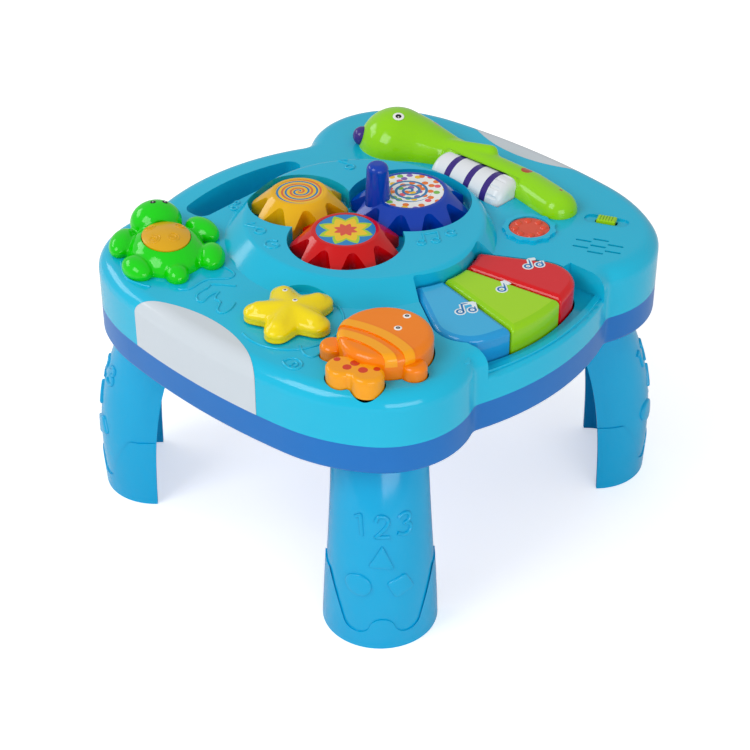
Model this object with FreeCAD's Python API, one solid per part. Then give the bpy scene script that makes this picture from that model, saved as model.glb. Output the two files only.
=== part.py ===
import FreeCAD, Part
import math
import os

# Musical activity table for a baby: a rounded deck on four plug-in legs.
# Millimetres, +Z up. The deck is drawn about the middle of its width, and every
# finished piece is moved back by FRAME_SHIFT so that Z runs up the footprint's centre.

V = FreeCAD.Vector

# Heights of the main levels
FLOOR_TO_BODY = 140.0
LOWER_SHELL_HEIGHT = 21.5
UPPER_SHELL_HEIGHT = 36.5
HUB_RISE = 10.0
LEDGE_DROP = 17.0
WALL = 2.6

Z_BODY = FLOOR_TO_BODY
Z_SEAM = Z_BODY + LOWER_SHELL_HEIGHT
Z_DECK = Z_SEAM + UPPER_SHELL_HEIGHT
Z_HUB = Z_DECK + HUB_RISE
Z_LEDGE = Z_DECK - LEDGE_DROP

# Deck outline, made of tangent arcs
HALF_WIDTH = 170.0
SIDE_RADIUS = 520.0
SIDE_SWEEP = 8.0
SHOULDER_RADIUS = 120.0
CORNER_RADIUS = 60.0
NOTCH_RADIUS = 9.0
FRONT_CORNER_START = 36.0
FRONT_REACH = 157.0
FRONT_END_RADIUS = 190.0
BACK_CORNER_START = 25.0
BACK_REACH = 149.0
BACK_END_RADIUS = 170.0
BACK_END_OFFSET = -25.0
DECK_EDGE_RADIUS = 11.0
LOWER_EDGE_RADIUS = 3.0
LEDGE_EDGE_RADIUS = 3.0
LEDGE_HALF_WIDTH = 59.0
LEDGE_INNER_Y = -118.0
LEDGE_LIP_WIDTH = 4.0
LEDGE_LIP_RISE = 1.8

# Raised hub round the gears
HUB_TOP_CENTRE = V(-1.0, 12.0, 0.0)
HUB_TOP_RADIUS = 81.5
HUB_BASE_CENTRE = V(-9.0, 8.0, 0.0)
HUB_BASE_RADIUS = 92.0
HUB_EDGE_RADIUS = 5.0
HUB_ROOT_DEPTH = 5.0

# Gear train
PAN_CLEARANCE = 1.8
PAN_DEPTH = 13.0
GEAR_LIFT = 1.3
GEAR_HEIGHT = 18.7
GEAR_CAP = 4.0
GEAR_RIM_HEIGHT = 6.0
HALF_MODULE = 3.5579
TOOTH_REACH = 5.5
ROOT_CLEARANCE = 0.8
TIP_ROUND = 3.4
VALLEY_ROUND = 4.3
RED_TEETH = 9
BLUE_TEETH = 10
YELLOW_TEETH = 8
RED_CENTRE = V(-32.0, 0.0, 0.0)
BLUE_BEARING = 3.4
YELLOW_BEARING = 75.3
RED_TOOTH_ANGLE = 12.6
LABEL_THICKNESS = 0.35
LABEL_RECESS = 0.5
LABEL_RIM = 2.6
GEAR_TOP_INSET = 15.0

# Spindles that the loose toys turn on
SPINDLE_RADIUS = 3.0
RUNNING_FIT = 0.05
SPINDLE_COLLAR_RADIUS = 7.0
FACE_GAP = 0.3
SPINDLE_FLANGE_THICKNESS = 2.0

# Crank knob on the blue gear
KNOB_OFFSET = 23.7
KNOB_BEARING = 155.0
KNOB_BASE_RADIUS = 8.4
KNOB_TOP_RADIUS = 7.3
KNOB_HEIGHT = 26.0
KNOB_SEAT_DEPTH = 9.0
KNOB_CROWN_RADIUS = 4.5

# Starfish spinner
STAR_CENTRE = V(-116.0, -30.0, 0.0)
STAR_TIP_RADIUS = 30.5
STAR_WAIST_RADIUS = 17.0
STAR_TIP_ROUND = 7.0
STAR_WAIST_ROUND = 6.0
STAR_HEIGHT = 12.0
STAR_EDGE_RADIUS = 5.0
STAR_BORE_DEPTH = 9.0
STAR_LIFT = 1.0
STAR_FIRST_ARM = 58.0
ALCOVE_CLEARANCE = 2.4

# Fish push button
FISH_CENTRE = V(-101.0, -99.5, 0.0)
FISH_RADIUS = 30.0
FISH_RISE = 15.5
FISH_DEPTH = 14.0
FISH_EDGE_RADIUS = 5.0
FISH_WALL = 2.4
FISH_TRAVEL = 4.0
FIN_RADIUS = 8.0
FIN_RISE = 9.0
FIN_EDGE_RADIUS = 3.5
FRONT_FIN = V(-107.0, -129.0, 0.0)
REAR_FIN = V(-125.0, -77.5, 0.0)
BAND_CENTRE = V(-171.0, -103.5, 0.0)
FRONT_BAND_RADIUS = 66.0
REAR_BAND_RADIUS = 54.0
BAND_WIDTH = 7.0
BAND_RISE = 1.0
TAIL_LOBE_RADIUS = 10.6
TAIL_RISE = 10.0
TAIL_DEPTH = 3.5
TAIL_EDGE_RADIUS = 3.0
UPPER_TAIL_LOBE = V(-139.0, -99.5, 0.0)
LOWER_TAIL_LOBE = V(-134.5, -115.5, 0.0)
BUTTON_GAP = 0.8

# Turtle with its drum plate
TURTLE_CENTRE = V(-116.0, 84.0, 0.0)
TURTLE_BEARING = 60.6
TURTLE_LENGTH = 60.0
TURTLE_WIDTH = 52.0
TURTLE_HEIGHT = 18.0
PLATE_LENGTH = 38.0
PLATE_WIDTH = 32.0
PLATE_TRAVEL = 2.0
PLATE_GAP = 0.4
PLATE_WELL_DEPTH = 7.0
TURTLE_HEAD_RADIUS = 14.5
TURTLE_HEAD_REACH = 37.5
TURTLE_HEAD_RISE = 7.0
TURTLE_TAIL_REACH = 33.0
TURTLE_TAIL_RADIUS = 7.5
PLATE_RISE = 0.8
FRONT_FLIPPER_REACH = 20.5
FRONT_FLIPPER_SIDE = 30.0
FRONT_FLIPPER_TURN = 35.0
REAR_FLIPPER_REACH = -18.0
REAR_FLIPPER_SIDE = 26.0
REAR_FLIPPER_TURN = 120.0
FLIPPER_LENGTH = 24.0
FLIPPER_WIDTH = 14.0
FLIPPER_HEIGHT = 7.0

# Dinosaur along the right side
DINO_HEAD_CENTRE = V(112.0, 82.0, 0.0)
DINO_HEAD_BASE_RADIUS = 28.5
DINO_HEAD_HEIGHT = 23.0
DINO_BODY_X = 111.0
DINO_BODY_RADIUS = 18.0
DINO_BODY_RISE = 1.0
DINO_NECK_Y = 50.0
DINO_HIP = V(113.0, -44.0, 0.0)
DINO_TAIL = V(106.0, -70.0, 0.0)
DINO_TAIL_RADIUS = 12.0
ARM_RADIUS = 6.0
ARM_ROOT = V(115.0, 30.0, 15.0)
ARM_TIP = V(127.0, 5.0, 9.0)
SNOUT_RADIUS = 7.0
SNOUT_CENTRE = V(86.0, 96.0, 6.0)
ROLLER_CENTRE = V(98.0, -3.0, 0.0)
ROLLER_RADIUS = 16.0
ROLLER_LENGTH = 66.0
ROLLER_AXIS_DROP = 2.5
ROLLER_END_RADIUS = 7.0
ROLLER_FLUTES = 14
ROLLER_FLUTE_RADIUS = 1.6
ROLLER_FLUTE_LENGTH = 12.0
ROLLER_GAP = 0.7
AXLE_RADIUS = 1.5
AXLE_SEAT = 5.0

# Piano keys, cut from one ring sector about a fan centre
FAN_CENTRE = V(-3.0, -14.0, 0.0)
KEY_INNER_RADIUS = 59.0
KEY_OUTER_RADIUS = 131.0
KEY_EDGES = (-33.0, -12.0, 9.0, 29.5)
KEY_CORNER_RADIUS = 24.0
KEY_SMALL_CORNER = 2.0
KEY_RISE = 2.0
KEY_DEPTH = 23.0
KEY_EDGE_RADIUS = 4.5
KEY_WALL = 2.2
KEY_GAP = 0.8
KEY_EDGE_GAP = 1.0
KEY_PIN_Y = -56.0
KEY_PIN_DROP = 8.5
KEY_ARM_X = (-27.0, -4.0, 16.0)
KEY_ARM_WIDTH = 12.0
KEY_ARM_HEIGHT = 7.0
KEY_ARM_REACH = 18.0
KEY_ARM_GAP = 0.6
KEY_ARM_DROP = 1.2
KEY_STEM_Y = -107.0
KEY_STEM_X = (-42.0, -5.0, 29.0)
PIN_OVERHANG = 5.0

# Circuit board, rubber domes and stems
BOARD_RISE_OVER_SEAM = 5.5
BOARD_THICKNESS = 1.6
BOARD_X = (-118.0, 62.0)
BOARD_Y = (-121.0, -92.0)
DOME_HEIGHT = 6.0
DOME_BASE_RADIUS = 7.0
DOME_TOP_RADIUS = 4.0
STEM_RADIUS = 3.5
DRUM_BOARD_SIZE = 30.0
BOARD_POST_RADIUS = 3.2
Z_BOARD = Z_SEAM + BOARD_RISE_OVER_SEAM
Z_BOARD_TOP = Z_BOARD + BOARD_THICKNESS
Z_DOME_TOP = Z_BOARD_TOP + DOME_HEIGHT

# Crab lamp
CRAB_CENTRE = V(74.0, -71.0, 0.0)
CRAB_RADIUS = 14.0
CRAB_LOBES = 8
CRAB_LOBE_HEIGHT = 1.6
CRAB_LENS_RISE = 0.8
CRAB_BORDER_RADIUS = 18.5
CRAB_BORDER_WAVE = 1.3
CRAB_BORDER_WAVES = 11
CRAB_BORDER_RISE = 1.8
LENS_THICKNESS = 3.4
LENS_FLANGE = 2.0
LAMP_RADIUS = 2.5
LAMP_HEIGHT = 6.0
LAMP_GAP = 0.1

# Speaker and its sound slots
SPEAKER_CENTRE = V(88.0, -119.0, 0.0)
SPEAKER_RADIUS = 18.0
SPEAKER_DEPTH = 12.0
SLOT_WIDTH = 2.0
SLOT_LENGTH = 9.0
SLOT_ROWS = 3
SLOT_PITCH = 8.5
SLOT_ROW_PITCH = 11.0
SLOT_TURN = 24.0

# Slide switch
SWITCH_CENTRE = V(119.0, -102.5, 0.0)
SWITCH_BEARING = -66.0
SWITCH_TRAVEL = 4.0
SLIDER_LENGTH = 13.0
SLIDER_WIDTH = 7.6
SLIDER_RISE = 2.2
SWITCH_RECESS_LENGTH = 31.0
SWITCH_RECESS_WIDTH = 11.0
SWITCH_RECESS_DEPTH = 1.3
SWITCH_STEM_LENGTH = 7.0
SWITCH_STEM_WIDTH = 3.6
SWITCH_STEM_DEPTH = 3.0

# White panels let into the sides
PANEL_CENTRE_Y = 5.0
PANEL_REACH_IN = 21.0
PANEL_ARC_RADIUS = 97.5
PANEL_THICKNESS = 1.5
PANEL_JOINT = 0.15

# Carrying slot behind the hub
SLOT_BAR_WIDTH = 22.0
SLOT_INNER_Y = 102.0
SLOT_LEFT_X = -68.0
SLOT_CORNER_RADIUS = 8.0

# Legs
LEG_APEX_X = 141.0
FRONT_LEG_APEX_Y = -134.5
BACK_LEG_APEX_Y = 138.5
LEG_LEVELS = (0.0, 26.0, 61.0, 96.0, FLOOR_TO_BODY)
LEG_HALF_WIDTHS = (37.5, 36.3, 34.3, 32.3, 31.5)
LEG_INSETS = (0.0, -1.2, -0.2, 6.8, 25.0)
LEG_FLANKS = (0.5, 3.5, 7.2, 9.3, 9.5)
LEG_MOUTH = 5.0
LEG_WALL = 2.4
CUFF_THICKNESS = 0.9
CUFF_SIDE_HEIGHT = 52.0
CUFF_LOW_HEIGHT = 13.0
CUFF_CREST_HEIGHT = 26.0
CUFF_DIP_SPACING = 16.5
CUFF_SIDE_LEAN = 15.0
PLUG_LENGTH = 30.0
PLUG_WIDTH = 12.0
PLUG_HEIGHT = 12.0
PLUG_BACKSET = 17.0
PLUG_JOINT = 0.25

# Battery box and screws
BATTERY_CENTRE = V(0.0, 34.0, 0.0)
CELL_RADIUS = 7.2
CELL_LENGTH = 50.5
CELL_COUNT = 3
CELL_PITCH = 15.2
BOX_WALL = 2.0
CONTACT_THICKNESS = 0.5
CELL_END_ROOM = 3.0
DOOR_THICKNESS = 2.4
DOOR_FLANGE = 3.0
DOOR_EAR = 12.0
DOOR_SCREW_LENGTH = 9.0
DOOR_JOINT = 0.2
SCREW_SHANK_RADIUS = 1.2
SCREW_HEAD_RADIUS = 2.8
SCREW_HEAD_HEIGHT = 2.0
SCREW_LENGTH = 16.0
BOSS_RADIUS = 4.2
PILOT_CLEARANCE = 0.05
SHELL_SCREWS = ((-150.0, 72.0), (150.0, 80.0), (-152.0, -62.0), (146.0, -60.0),
                (-73.0, -139.0), (67.0, -135.0), (-86.0, 118.0), (78.0, 118.0))
SCREW_COUNTERBORE = 11.0
JOIN_HEIGHT = 159.0
BOARD_SCREW_LENGTH = 8.0
BOARD_POSTS = ((-84.0, -97.0), (-70.0, -116.5), (10.0, -97.0), (57.0, -116.5))
DRUM_POST_REACH = 11.0


def cylinder(radius, height, centre, z):
    """Upright cylinder on a plan point."""
    return Part.makeCylinder(radius, height, V(centre.x, centre.y, z))


def box(x0, x1, y0, y1, z0, z1):
    return Part.makeBox(x1 - x0, y1 - y0, z1 - z0, V(x0, y0, z0))


def polar(centre, radius, degrees):
    a = math.radians(degrees)
    return V(centre.x + radius * math.cos(a), centre.y + radius * math.sin(a), 0.0)


def fused(shapes):
    return shapes[0].multiFuse(shapes[1:]).removeSplitter()


def prism(wire, z0, z1):
    """Solid between two levels from a flat closed wire drawn at z = 0."""
    face = Part.Face(wire)
    face.translate(V(0, 0, z0))
    return face.extrude(V(0, 0, z1 - z0))


def top_edges(solid, z, keep=lambda middle: True):
    """Edges that lie flat at one level and whose middle passes a test."""
    found = []
    for edge in solid.Edges:
        bound = edge.BoundBox
        if abs(bound.ZMin - z) < 0.01 and abs(bound.ZMax - z) < 0.01:
            first, last = edge.ParameterRange
            if keep(edge.valueAt((first + last) / 2.0)):
                found.append(edge)
    return found


def upright_edges(solid, near, reach):
    """Vertical edges within reach of any of the plan points."""
    found = []
    for edge in solid.Edges:
        bound = edge.BoundBox
        if bound.ZLength > 1.0 and bound.XLength < 0.01 and bound.YLength < 0.01:
            place = V(bound.XMin, bound.YMin, 0.0)
            if any(place.distanceToPoint(point) < reach for point in near):
                found.append(edge)
    return found


def save(node, shape):
    """Check a piece, move it to the footprint's centre and write it."""
    if not shape.isValid():
        raise ValueError("not a valid solid: " + node)
    moved = shape.copy()
    moved.translate(V(0, FRAME_SHIFT, 0))
    moved.exportStep("parts/" + node + ".step")
    print(node, "solids", len(shape.Solids), "volume", round(shape.Volume, 1))


def lobe_arcs(inset, corner_start, reach, end_radius, end_offset):
    """Five tangent arcs of one quarter, from the middle of a side to the middle of an end."""
    def unit(degrees):
        return V(math.cos(math.radians(degrees)), math.sin(math.radians(degrees)), 0.0)

    def arc(centre, radius, start, stop):
        return [centre + unit(angle) * radius for angle in (start, (start + stop) / 2.0, stop)]

    side = V(HALF_WIDTH - SIDE_RADIUS, 0, 0)
    shoulder = side + unit(SIDE_SWEEP) * (SIDE_RADIUS - SHOULDER_RADIUS)
    corner = shoulder + unit(corner_start) * (SHOULDER_RADIUS - CORNER_RADIUS)
    end = V(end_offset, reach - end_radius, 0)
    across = corner - end
    far = end_radius + NOTCH_RADIUS
    near = CORNER_RADIUS + NOTCH_RADIUS
    along = (far ** 2 - near ** 2 + across.Length ** 2) / (2.0 * across.Length)
    aside = math.sqrt(far ** 2 - along ** 2)
    direction = across * (1.0 / across.Length)
    notch = end + direction * along + V(-direction.y, direction.x, 0) * aside
    to_corner = math.degrees(math.atan2(notch.y - corner.y, notch.x - corner.x))
    to_end = math.degrees(math.atan2(notch.y - end.y, notch.x - end.x))
    return [arc(side, SIDE_RADIUS - inset, 0.0, SIDE_SWEEP),
            arc(shoulder, SHOULDER_RADIUS - inset, SIDE_SWEEP, corner_start),
            arc(corner, CORNER_RADIUS - inset, corner_start, to_corner),
            arc(notch, NOTCH_RADIUS + inset, to_corner + 180.0, to_end + 180.0),
            arc(end, end_radius - inset, to_end, 90.0)]


def deck_outline(inset):
    """Closed outline of the deck, drawn in from the outer face by the inset."""
    front = (FRONT_CORNER_START, FRONT_REACH, FRONT_END_RADIUS)
    back = (BACK_CORNER_START, BACK_REACH, BACK_END_RADIUS)
    quarters = [(1, 1, back, BACK_END_OFFSET), (-1, 1, back, -BACK_END_OFFSET),
                (-1, -1, front, 0.0), (1, -1, front, 0.0)]
    edges = []
    for across, along, shape, offset in quarters:
        arcs = lobe_arcs(inset, shape[0], shape[1], shape[2], offset)
        placed = [[V(p.x * across, p.y * along, 0) for p in arc] for arc in arcs]
        if across * along < 0:
            placed = [arc[::-1] for arc in placed[::-1]]
        edges += [Part.Arc(*arc).toShape() for arc in placed]
    return Part.Wire(edges)


def deck_block(inset, z0, z1, edge_radius):
    """Deck with its upper edge rounded, stepped back in front of the keys."""
    block = prism(deck_outline(inset), z0, z1)
    block = block.makeFillet(edge_radius, top_edges(block, z1))
    half = LEDGE_HALF_WIDTH + inset
    return block.cut(box(-half, half, -FRONT_REACH - 10.0, LEDGE_INNER_Y + inset, z0 - 1, z1 + 1))


def ledge_block(inset, z0, z1, edge_radius):
    """Low front shelf before the keys."""
    block = prism(deck_outline(inset), z0, z1)
    half = LEDGE_HALF_WIDTH + inset + 3.0
    block = block.common(box(-half, half, -FRONT_REACH - 10.0, LEDGE_INNER_Y + 12.0, z0, z1))
    if edge_radius > 0:
        rim = top_edges(block, z1, lambda m: m.y < LEDGE_INNER_Y and abs(m.x) < half - 0.5)
        block = block.makeFillet(edge_radius, rim)
    return block


def hub_block(inset, z0, z1):
    """Leaning cone from its wide root circle to the rim round the gears."""
    root_z = Z_DECK - HUB_ROOT_DEPTH
    spread = (HUB_BASE_RADIUS - HUB_TOP_RADIUS) / HUB_RISE
    lean = (HUB_BASE_CENTRE - HUB_TOP_CENTRE) * (1.0 / HUB_RISE)

    def ring(z):
        centre = HUB_TOP_CENTRE + lean * (Z_HUB - z)
        radius = HUB_TOP_RADIUS + spread * (Z_HUB - z) - inset
        return Part.Wire(Part.makeCircle(radius, V(centre.x, centre.y, z)))

    low = max(z0, root_z)
    return Part.makeLoft([ring(low), ring(z1)], True, True)


def carry_slot(grow, z0, z1):
    """Finger slot between the hub and the carrying bar."""
    end = V(BACK_END_OFFSET, BACK_REACH - BACK_END_RADIUS, 0)
    bar_inner = BACK_END_RADIUS - SLOT_BAR_WIDTH
    slot = cylinder(bar_inner + grow, z1 - z0, end, z0)
    slot = slot.common(box(SLOT_LEFT_X - grow, HALF_WIDTH, SLOT_INNER_Y - grow, BACK_REACH + 20, z0, z1))
    corners = []
    for edge in slot.Edges:
        bound = edge.BoundBox
        if bound.ZLength > 1.0 and bound.XLength < 0.01:
            corners.append(edge)
    return slot.makeFillet(SLOT_CORNER_RADIUS + grow, corners)


def panel_region(side, grow):
    """Upright cylinder whose inner arc bounds a side panel."""
    centre = V(side * (HALF_WIDTH - PANEL_REACH_IN + PANEL_ARC_RADIUS), PANEL_CENTRE_Y, 0)
    return cylinder(PANEL_ARC_RADIUS + grow, UPPER_SHELL_HEIGHT + 20, centre, Z_SEAM - 5)


# Gear geometry, shared by the gears, their pans and their labels
def pitch_radius(teeth):
    return HALF_MODULE * teeth


def outer_radius(teeth):
    return pitch_radius(teeth) + TOOTH_REACH


def root_radius(teeth):
    return pitch_radius(teeth) - TOOTH_REACH - ROOT_CLEARANCE


def gear_places():
    """Centre and first tooth angle of each gear, in mesh with the red one."""
    blue = polar(RED_CENTRE, pitch_radius(RED_TEETH) + pitch_radius(BLUE_TEETH), BLUE_BEARING)
    yellow = polar(RED_CENTRE, pitch_radius(RED_TEETH) + pitch_radius(YELLOW_TEETH), YELLOW_BEARING)

    def phase(teeth, bearing):
        lead = RED_TOOTH_ANGLE - bearing
        valley = bearing + 180.0 - lead * RED_TEETH / teeth
        return valley + 180.0 / teeth

    return {"red": (RED_CENTRE, RED_TEETH, RED_TOOTH_ANGLE),
            "blue": (blue, BLUE_TEETH, phase(BLUE_TEETH, BLUE_BEARING)),
            "yellow": (yellow, YELLOW_TEETH, phase(YELLOW_TEETH, YELLOW_BEARING))}


GEARS = gear_places()
Z_PAN = Z_HUB - PAN_DEPTH
Z_GEAR = Z_PAN + GEAR_LIFT
Z_GEAR_TOP = Z_GEAR + GEAR_HEIGHT


def gear_outline(teeth, first):
    """Closed tooth outline: round tips and round valleys joined by tangent flanks."""
    tip_centre = outer_radius(teeth) - TIP_ROUND
    valley_centre = root_radius(teeth) + VALLEY_ROUND
    origin = V(0, 0, 0)
    edges = []
    step = 180.0 / teeth

    def flank(tip, valley, turn):
        """Points where the inner tangent of two circles touches each."""
        line = valley - tip
        lean = math.acos((TIP_ROUND + VALLEY_ROUND) / line.Length)
        base = math.atan2(line.y, line.x) + turn * lean
        out = V(math.cos(base), math.sin(base), 0)
        return tip + out * TIP_ROUND, valley - out * VALLEY_ROUND

    for tooth in range(teeth):
        middle = first + 2 * step * tooth
        before = polar(origin, valley_centre, middle - step)
        tip = polar(origin, tip_centre, middle)
        after = polar(origin, valley_centre, middle + step)
        rise_top, rise_low = flank(tip, before, 1)
        fall_top, fall_low = flank(tip, after, -1)
        crest = polar(origin, outer_radius(teeth), middle)
        floor = polar(origin, root_radius(teeth), middle + step)
        following = polar(origin, tip_centre, middle + 2 * step)
        next_low = flank(following, after, 1)[1]
        edges.append(Part.LineSegment(rise_low, rise_top).toShape())
        edges.append(Part.Arc(rise_top, crest, fall_top).toShape())
        edges.append(Part.LineSegment(fall_top, fall_low).toShape())
        edges.append(Part.Arc(fall_low, floor, next_low).toShape())
    return Part.Wire(edges)


def gear(name):
    """Domed play gear with arched valleys and a blind bore for its spindle."""
    centre, teeth, first = GEARS[name]
    outer = outer_radius(teeth)
    flat = outer - GEAR_TOP_INSET
    points = [V(0, 0, Z_GEAR), V(outer, 0, Z_GEAR), V(outer, 0, Z_GEAR + GEAR_RIM_HEIGHT),
              V(flat, 0, Z_GEAR_TOP), V(0, 0, Z_GEAR_TOP)]
    profile = Part.Face(Part.makePolygon(points + points[:1]))
    # The profile is drawn in X and Z and spun about Z
    dome = profile.revolve(V(0, 0, 0), V(0, 0, 1), 360)
    crown = [e for e in dome.Edges if e.Closed and e.BoundBox.ZLength < 0.01
             and e.BoundBox.ZMin > Z_GEAR + 0.1]
    dome = dome.makeFillet(2.5, crown)
    body = dome.common(prism(gear_outline(teeth, first), Z_GEAR - 1, Z_GEAR_TOP + 1))
    bore = SPINDLE_RADIUS + RUNNING_FIT
    body = body.cut(Part.makeCylinder(bore, GEAR_HEIGHT - GEAR_CAP, V(0, 0, Z_GEAR)))
    label = label_radius(teeth) + 0.1
    body = body.cut(Part.makeCylinder(label, LABEL_RECESS, V(0, 0, Z_GEAR_TOP - LABEL_RECESS)))
    body.translate(V(centre.x, centre.y, 0))
    return body


def label_radius(teeth):
    return outer_radius(teeth) - GEAR_TOP_INSET - LABEL_RIM


def knob_centre():
    return polar(GEARS["blue"][0], KNOB_OFFSET, KNOB_BEARING)


def crank_knob():
    z0 = Z_GEAR_TOP - KNOB_SEAT_DEPTH
    seat = cylinder(KNOB_BASE_RADIUS, KNOB_SEAT_DEPTH, knob_centre(), z0)
    grip = Part.makeCone(KNOB_BASE_RADIUS, KNOB_TOP_RADIUS, KNOB_HEIGHT,
                         V(knob_centre().x, knob_centre().y, Z_GEAR_TOP))
    knob = seat.fuse(grip).removeSplitter()
    return knob.makeFillet(KNOB_CROWN_RADIUS, top_edges(knob, Z_GEAR_TOP + KNOB_HEIGHT))


def spindle(centre, panel_z, toy_z, bore_depth):
    """Post held by a flange under the panel, with a collar that the toy turns on."""
    top = toy_z + bore_depth - FACE_GAP
    under = panel_z - WALL
    flange_z = under - SPINDLE_FLANGE_THICKNESS
    post = cylinder(SPINDLE_RADIUS, top - flange_z, centre, flange_z)
    flange = cylinder(SPINDLE_COLLAR_RADIUS, SPINDLE_FLANGE_THICKNESS, centre, flange_z)
    return fused([post, flange])


# Starfish
def star_outline():
    """Five arms with round tips, joined by round waists."""
    tip_ring = STAR_TIP_RADIUS - STAR_TIP_ROUND
    waist_ring = STAR_WAIST_RADIUS + STAR_WAIST_ROUND
    arms = 5
    step = 180.0 / arms
    origin = V(0, 0, 0)
    edges = []

    def flank(tip, waist, turn):
        line = waist - tip
        lean = math.acos((STAR_TIP_ROUND + STAR_WAIST_ROUND) / line.Length)
        base = math.atan2(line.y, line.x) + turn * lean
        out = V(math.cos(base), math.sin(base), 0)
        return tip + out * STAR_TIP_ROUND, waist - out * STAR_WAIST_ROUND

    for arm in range(arms):
        middle = STAR_FIRST_ARM + 2 * step * arm
        before = polar(origin, waist_ring, middle - step)
        tip = polar(origin, tip_ring, middle)
        after = polar(origin, waist_ring, middle + step)
        rise_top, rise_low = flank(tip, before, 1)
        fall_top, fall_low = flank(tip, after, -1)
        following = polar(origin, tip_ring, middle + 2 * step)
        next_low = flank(following, after, 1)[1]
        crest = polar(origin, STAR_TIP_RADIUS, middle)
        floor = polar(origin, STAR_WAIST_RADIUS, middle + step)
        edges.append(Part.LineSegment(rise_low, rise_top).toShape())
        edges.append(Part.Arc(rise_top, crest, fall_top).toShape())
        edges.append(Part.LineSegment(fall_top, fall_low).toShape())
        edges.append(Part.Arc(fall_low, floor, next_low).toShape())
    return Part.Wire(edges)


def starfish():
    z0 = Z_DECK + STAR_LIFT
    star = prism(star_outline(), z0, z0 + STAR_HEIGHT)
    star = star.makeFillet(STAR_EDGE_RADIUS, top_edges(star, z0 + STAR_HEIGHT))
    star = star.cut(Part.makeCylinder(SPINDLE_RADIUS + RUNNING_FIT, STAR_BORE_DEPTH, V(0, 0, z0)))
    star.translate(STAR_CENTRE)
    return star


# Fish button
def fish_plan(grow, z0, z1):
    """Round body and tail block of the fish, as one prism."""
    parts = [cylinder(FISH_RADIUS + grow, z1 - z0, FISH_CENTRE, z0),
             tail_block(grow, z0, z1)]
    for fin in (FRONT_FIN, REAR_FIN):
        parts.append(cylinder(FIN_RADIUS + grow, z1 - z0, fin, z0))
    return fused(parts)


def tail_block(grow, z0, z1):
    """Two round lobes joined by a bar."""
    lobes = [cylinder(TAIL_LOBE_RADIUS + grow, z1 - z0, lobe, z0)
             for lobe in (UPPER_TAIL_LOBE, LOWER_TAIL_LOBE)]
    line = LOWER_TAIL_LOBE - UPPER_TAIL_LOBE
    length = line.Length
    half = TAIL_LOBE_RADIUS * 0.75 + grow
    bar = Part.makeBox(length, 2 * half, z1 - z0, V(0, -half, z0))
    bar.rotate(V(0, 0, 0), V(0, 0, 1), math.degrees(math.atan2(line.y, line.x)))
    bar.translate(UPPER_TAIL_LOBE)
    return fused(lobes + [bar])


def fish_tail():
    z1 = Z_DECK + TAIL_RISE
    tail = tail_block(0.0, Z_DECK - TAIL_DEPTH, z1)
    tail = tail.makeFillet(TAIL_EDGE_RADIUS, top_edges(tail, z1))
    return tail.cut(cylinder(FISH_RADIUS, FISH_RISE + FISH_DEPTH + 2, FISH_CENTRE,
                             Z_DECK - FISH_DEPTH - 1))


def fish_body():
    z0 = Z_DECK - FISH_DEPTH
    z1 = Z_DECK + FISH_RISE
    body = cylinder(FISH_RADIUS, z1 - z0, FISH_CENTRE, z0)
    body = body.makeFillet(FISH_EDGE_RADIUS, top_edges(body, z1))
    raised = body.copy()
    raised.translate(V(0, 0, BAND_RISE))
    solids = [body]
    for band_radius in (FRONT_BAND_RADIUS, REAR_BAND_RADIUS):
        solids.append(band_slice(raised, band_radius))
    for fin in (FRONT_FIN, REAR_FIN):
        pad = cylinder(FIN_RADIUS, FIN_RISE + FISH_DEPTH, fin, z0)
        solids.append(pad.makeFillet(FIN_EDGE_RADIUS, top_edges(pad, Z_DECK + FIN_RISE)))
    body = fused(solids)
    depth = FISH_RISE + FISH_DEPTH - FISH_EDGE_RADIUS
    body = body.cut(cylinder(FISH_RADIUS - FISH_WALL, depth, FISH_CENTRE, z0))
    stem = cylinder(STEM_RADIUS, z0 + depth - Z_DOME_TOP, FISH_CENTRE, Z_DOME_TOP)
    return fused([body, stem])


def band_slice(raised, radius):
    """Part of the raised body that lies under one curved band."""
    height = FISH_RISE + BAND_RISE
    ring = cylinder(radius + BAND_WIDTH / 2.0, height, BAND_CENTRE, Z_DECK + FIN_RISE)
    ring = ring.cut(cylinder(radius - BAND_WIDTH / 2.0, height, BAND_CENTRE, Z_DECK + FIN_RISE))
    return raised.common(ring)


# Turtle
def ellipsoid(half_x, half_y, half_z, centre):
    ball = Part.makeSphere(1.0)
    grow = FreeCAD.Matrix()
    grow.scale(half_x, half_y, half_z)
    shape = ball.transformGeometry(grow)
    shape.translate(centre)
    return shape


def turtle_place(shape):
    shape.rotate(V(0, 0, 0), V(0, 0, 1), TURTLE_BEARING)
    shape.translate(V(TURTLE_CENTRE.x, TURTLE_CENTRE.y, Z_DECK))
    return shape


def plate_prism(grow, z0, z1):
    ellipse = Part.Ellipse(V(0, 0, 0), PLATE_LENGTH / 2.0 + grow, PLATE_WIDTH / 2.0 + grow)
    return prism(Part.Wire(ellipse.toShape()), z0, z1)


def turtle_shell(rise):
    return ellipsoid(TURTLE_LENGTH / 2.0, TURTLE_WIDTH / 2.0, TURTLE_HEIGHT + rise, V(0, 0, 0))


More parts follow.
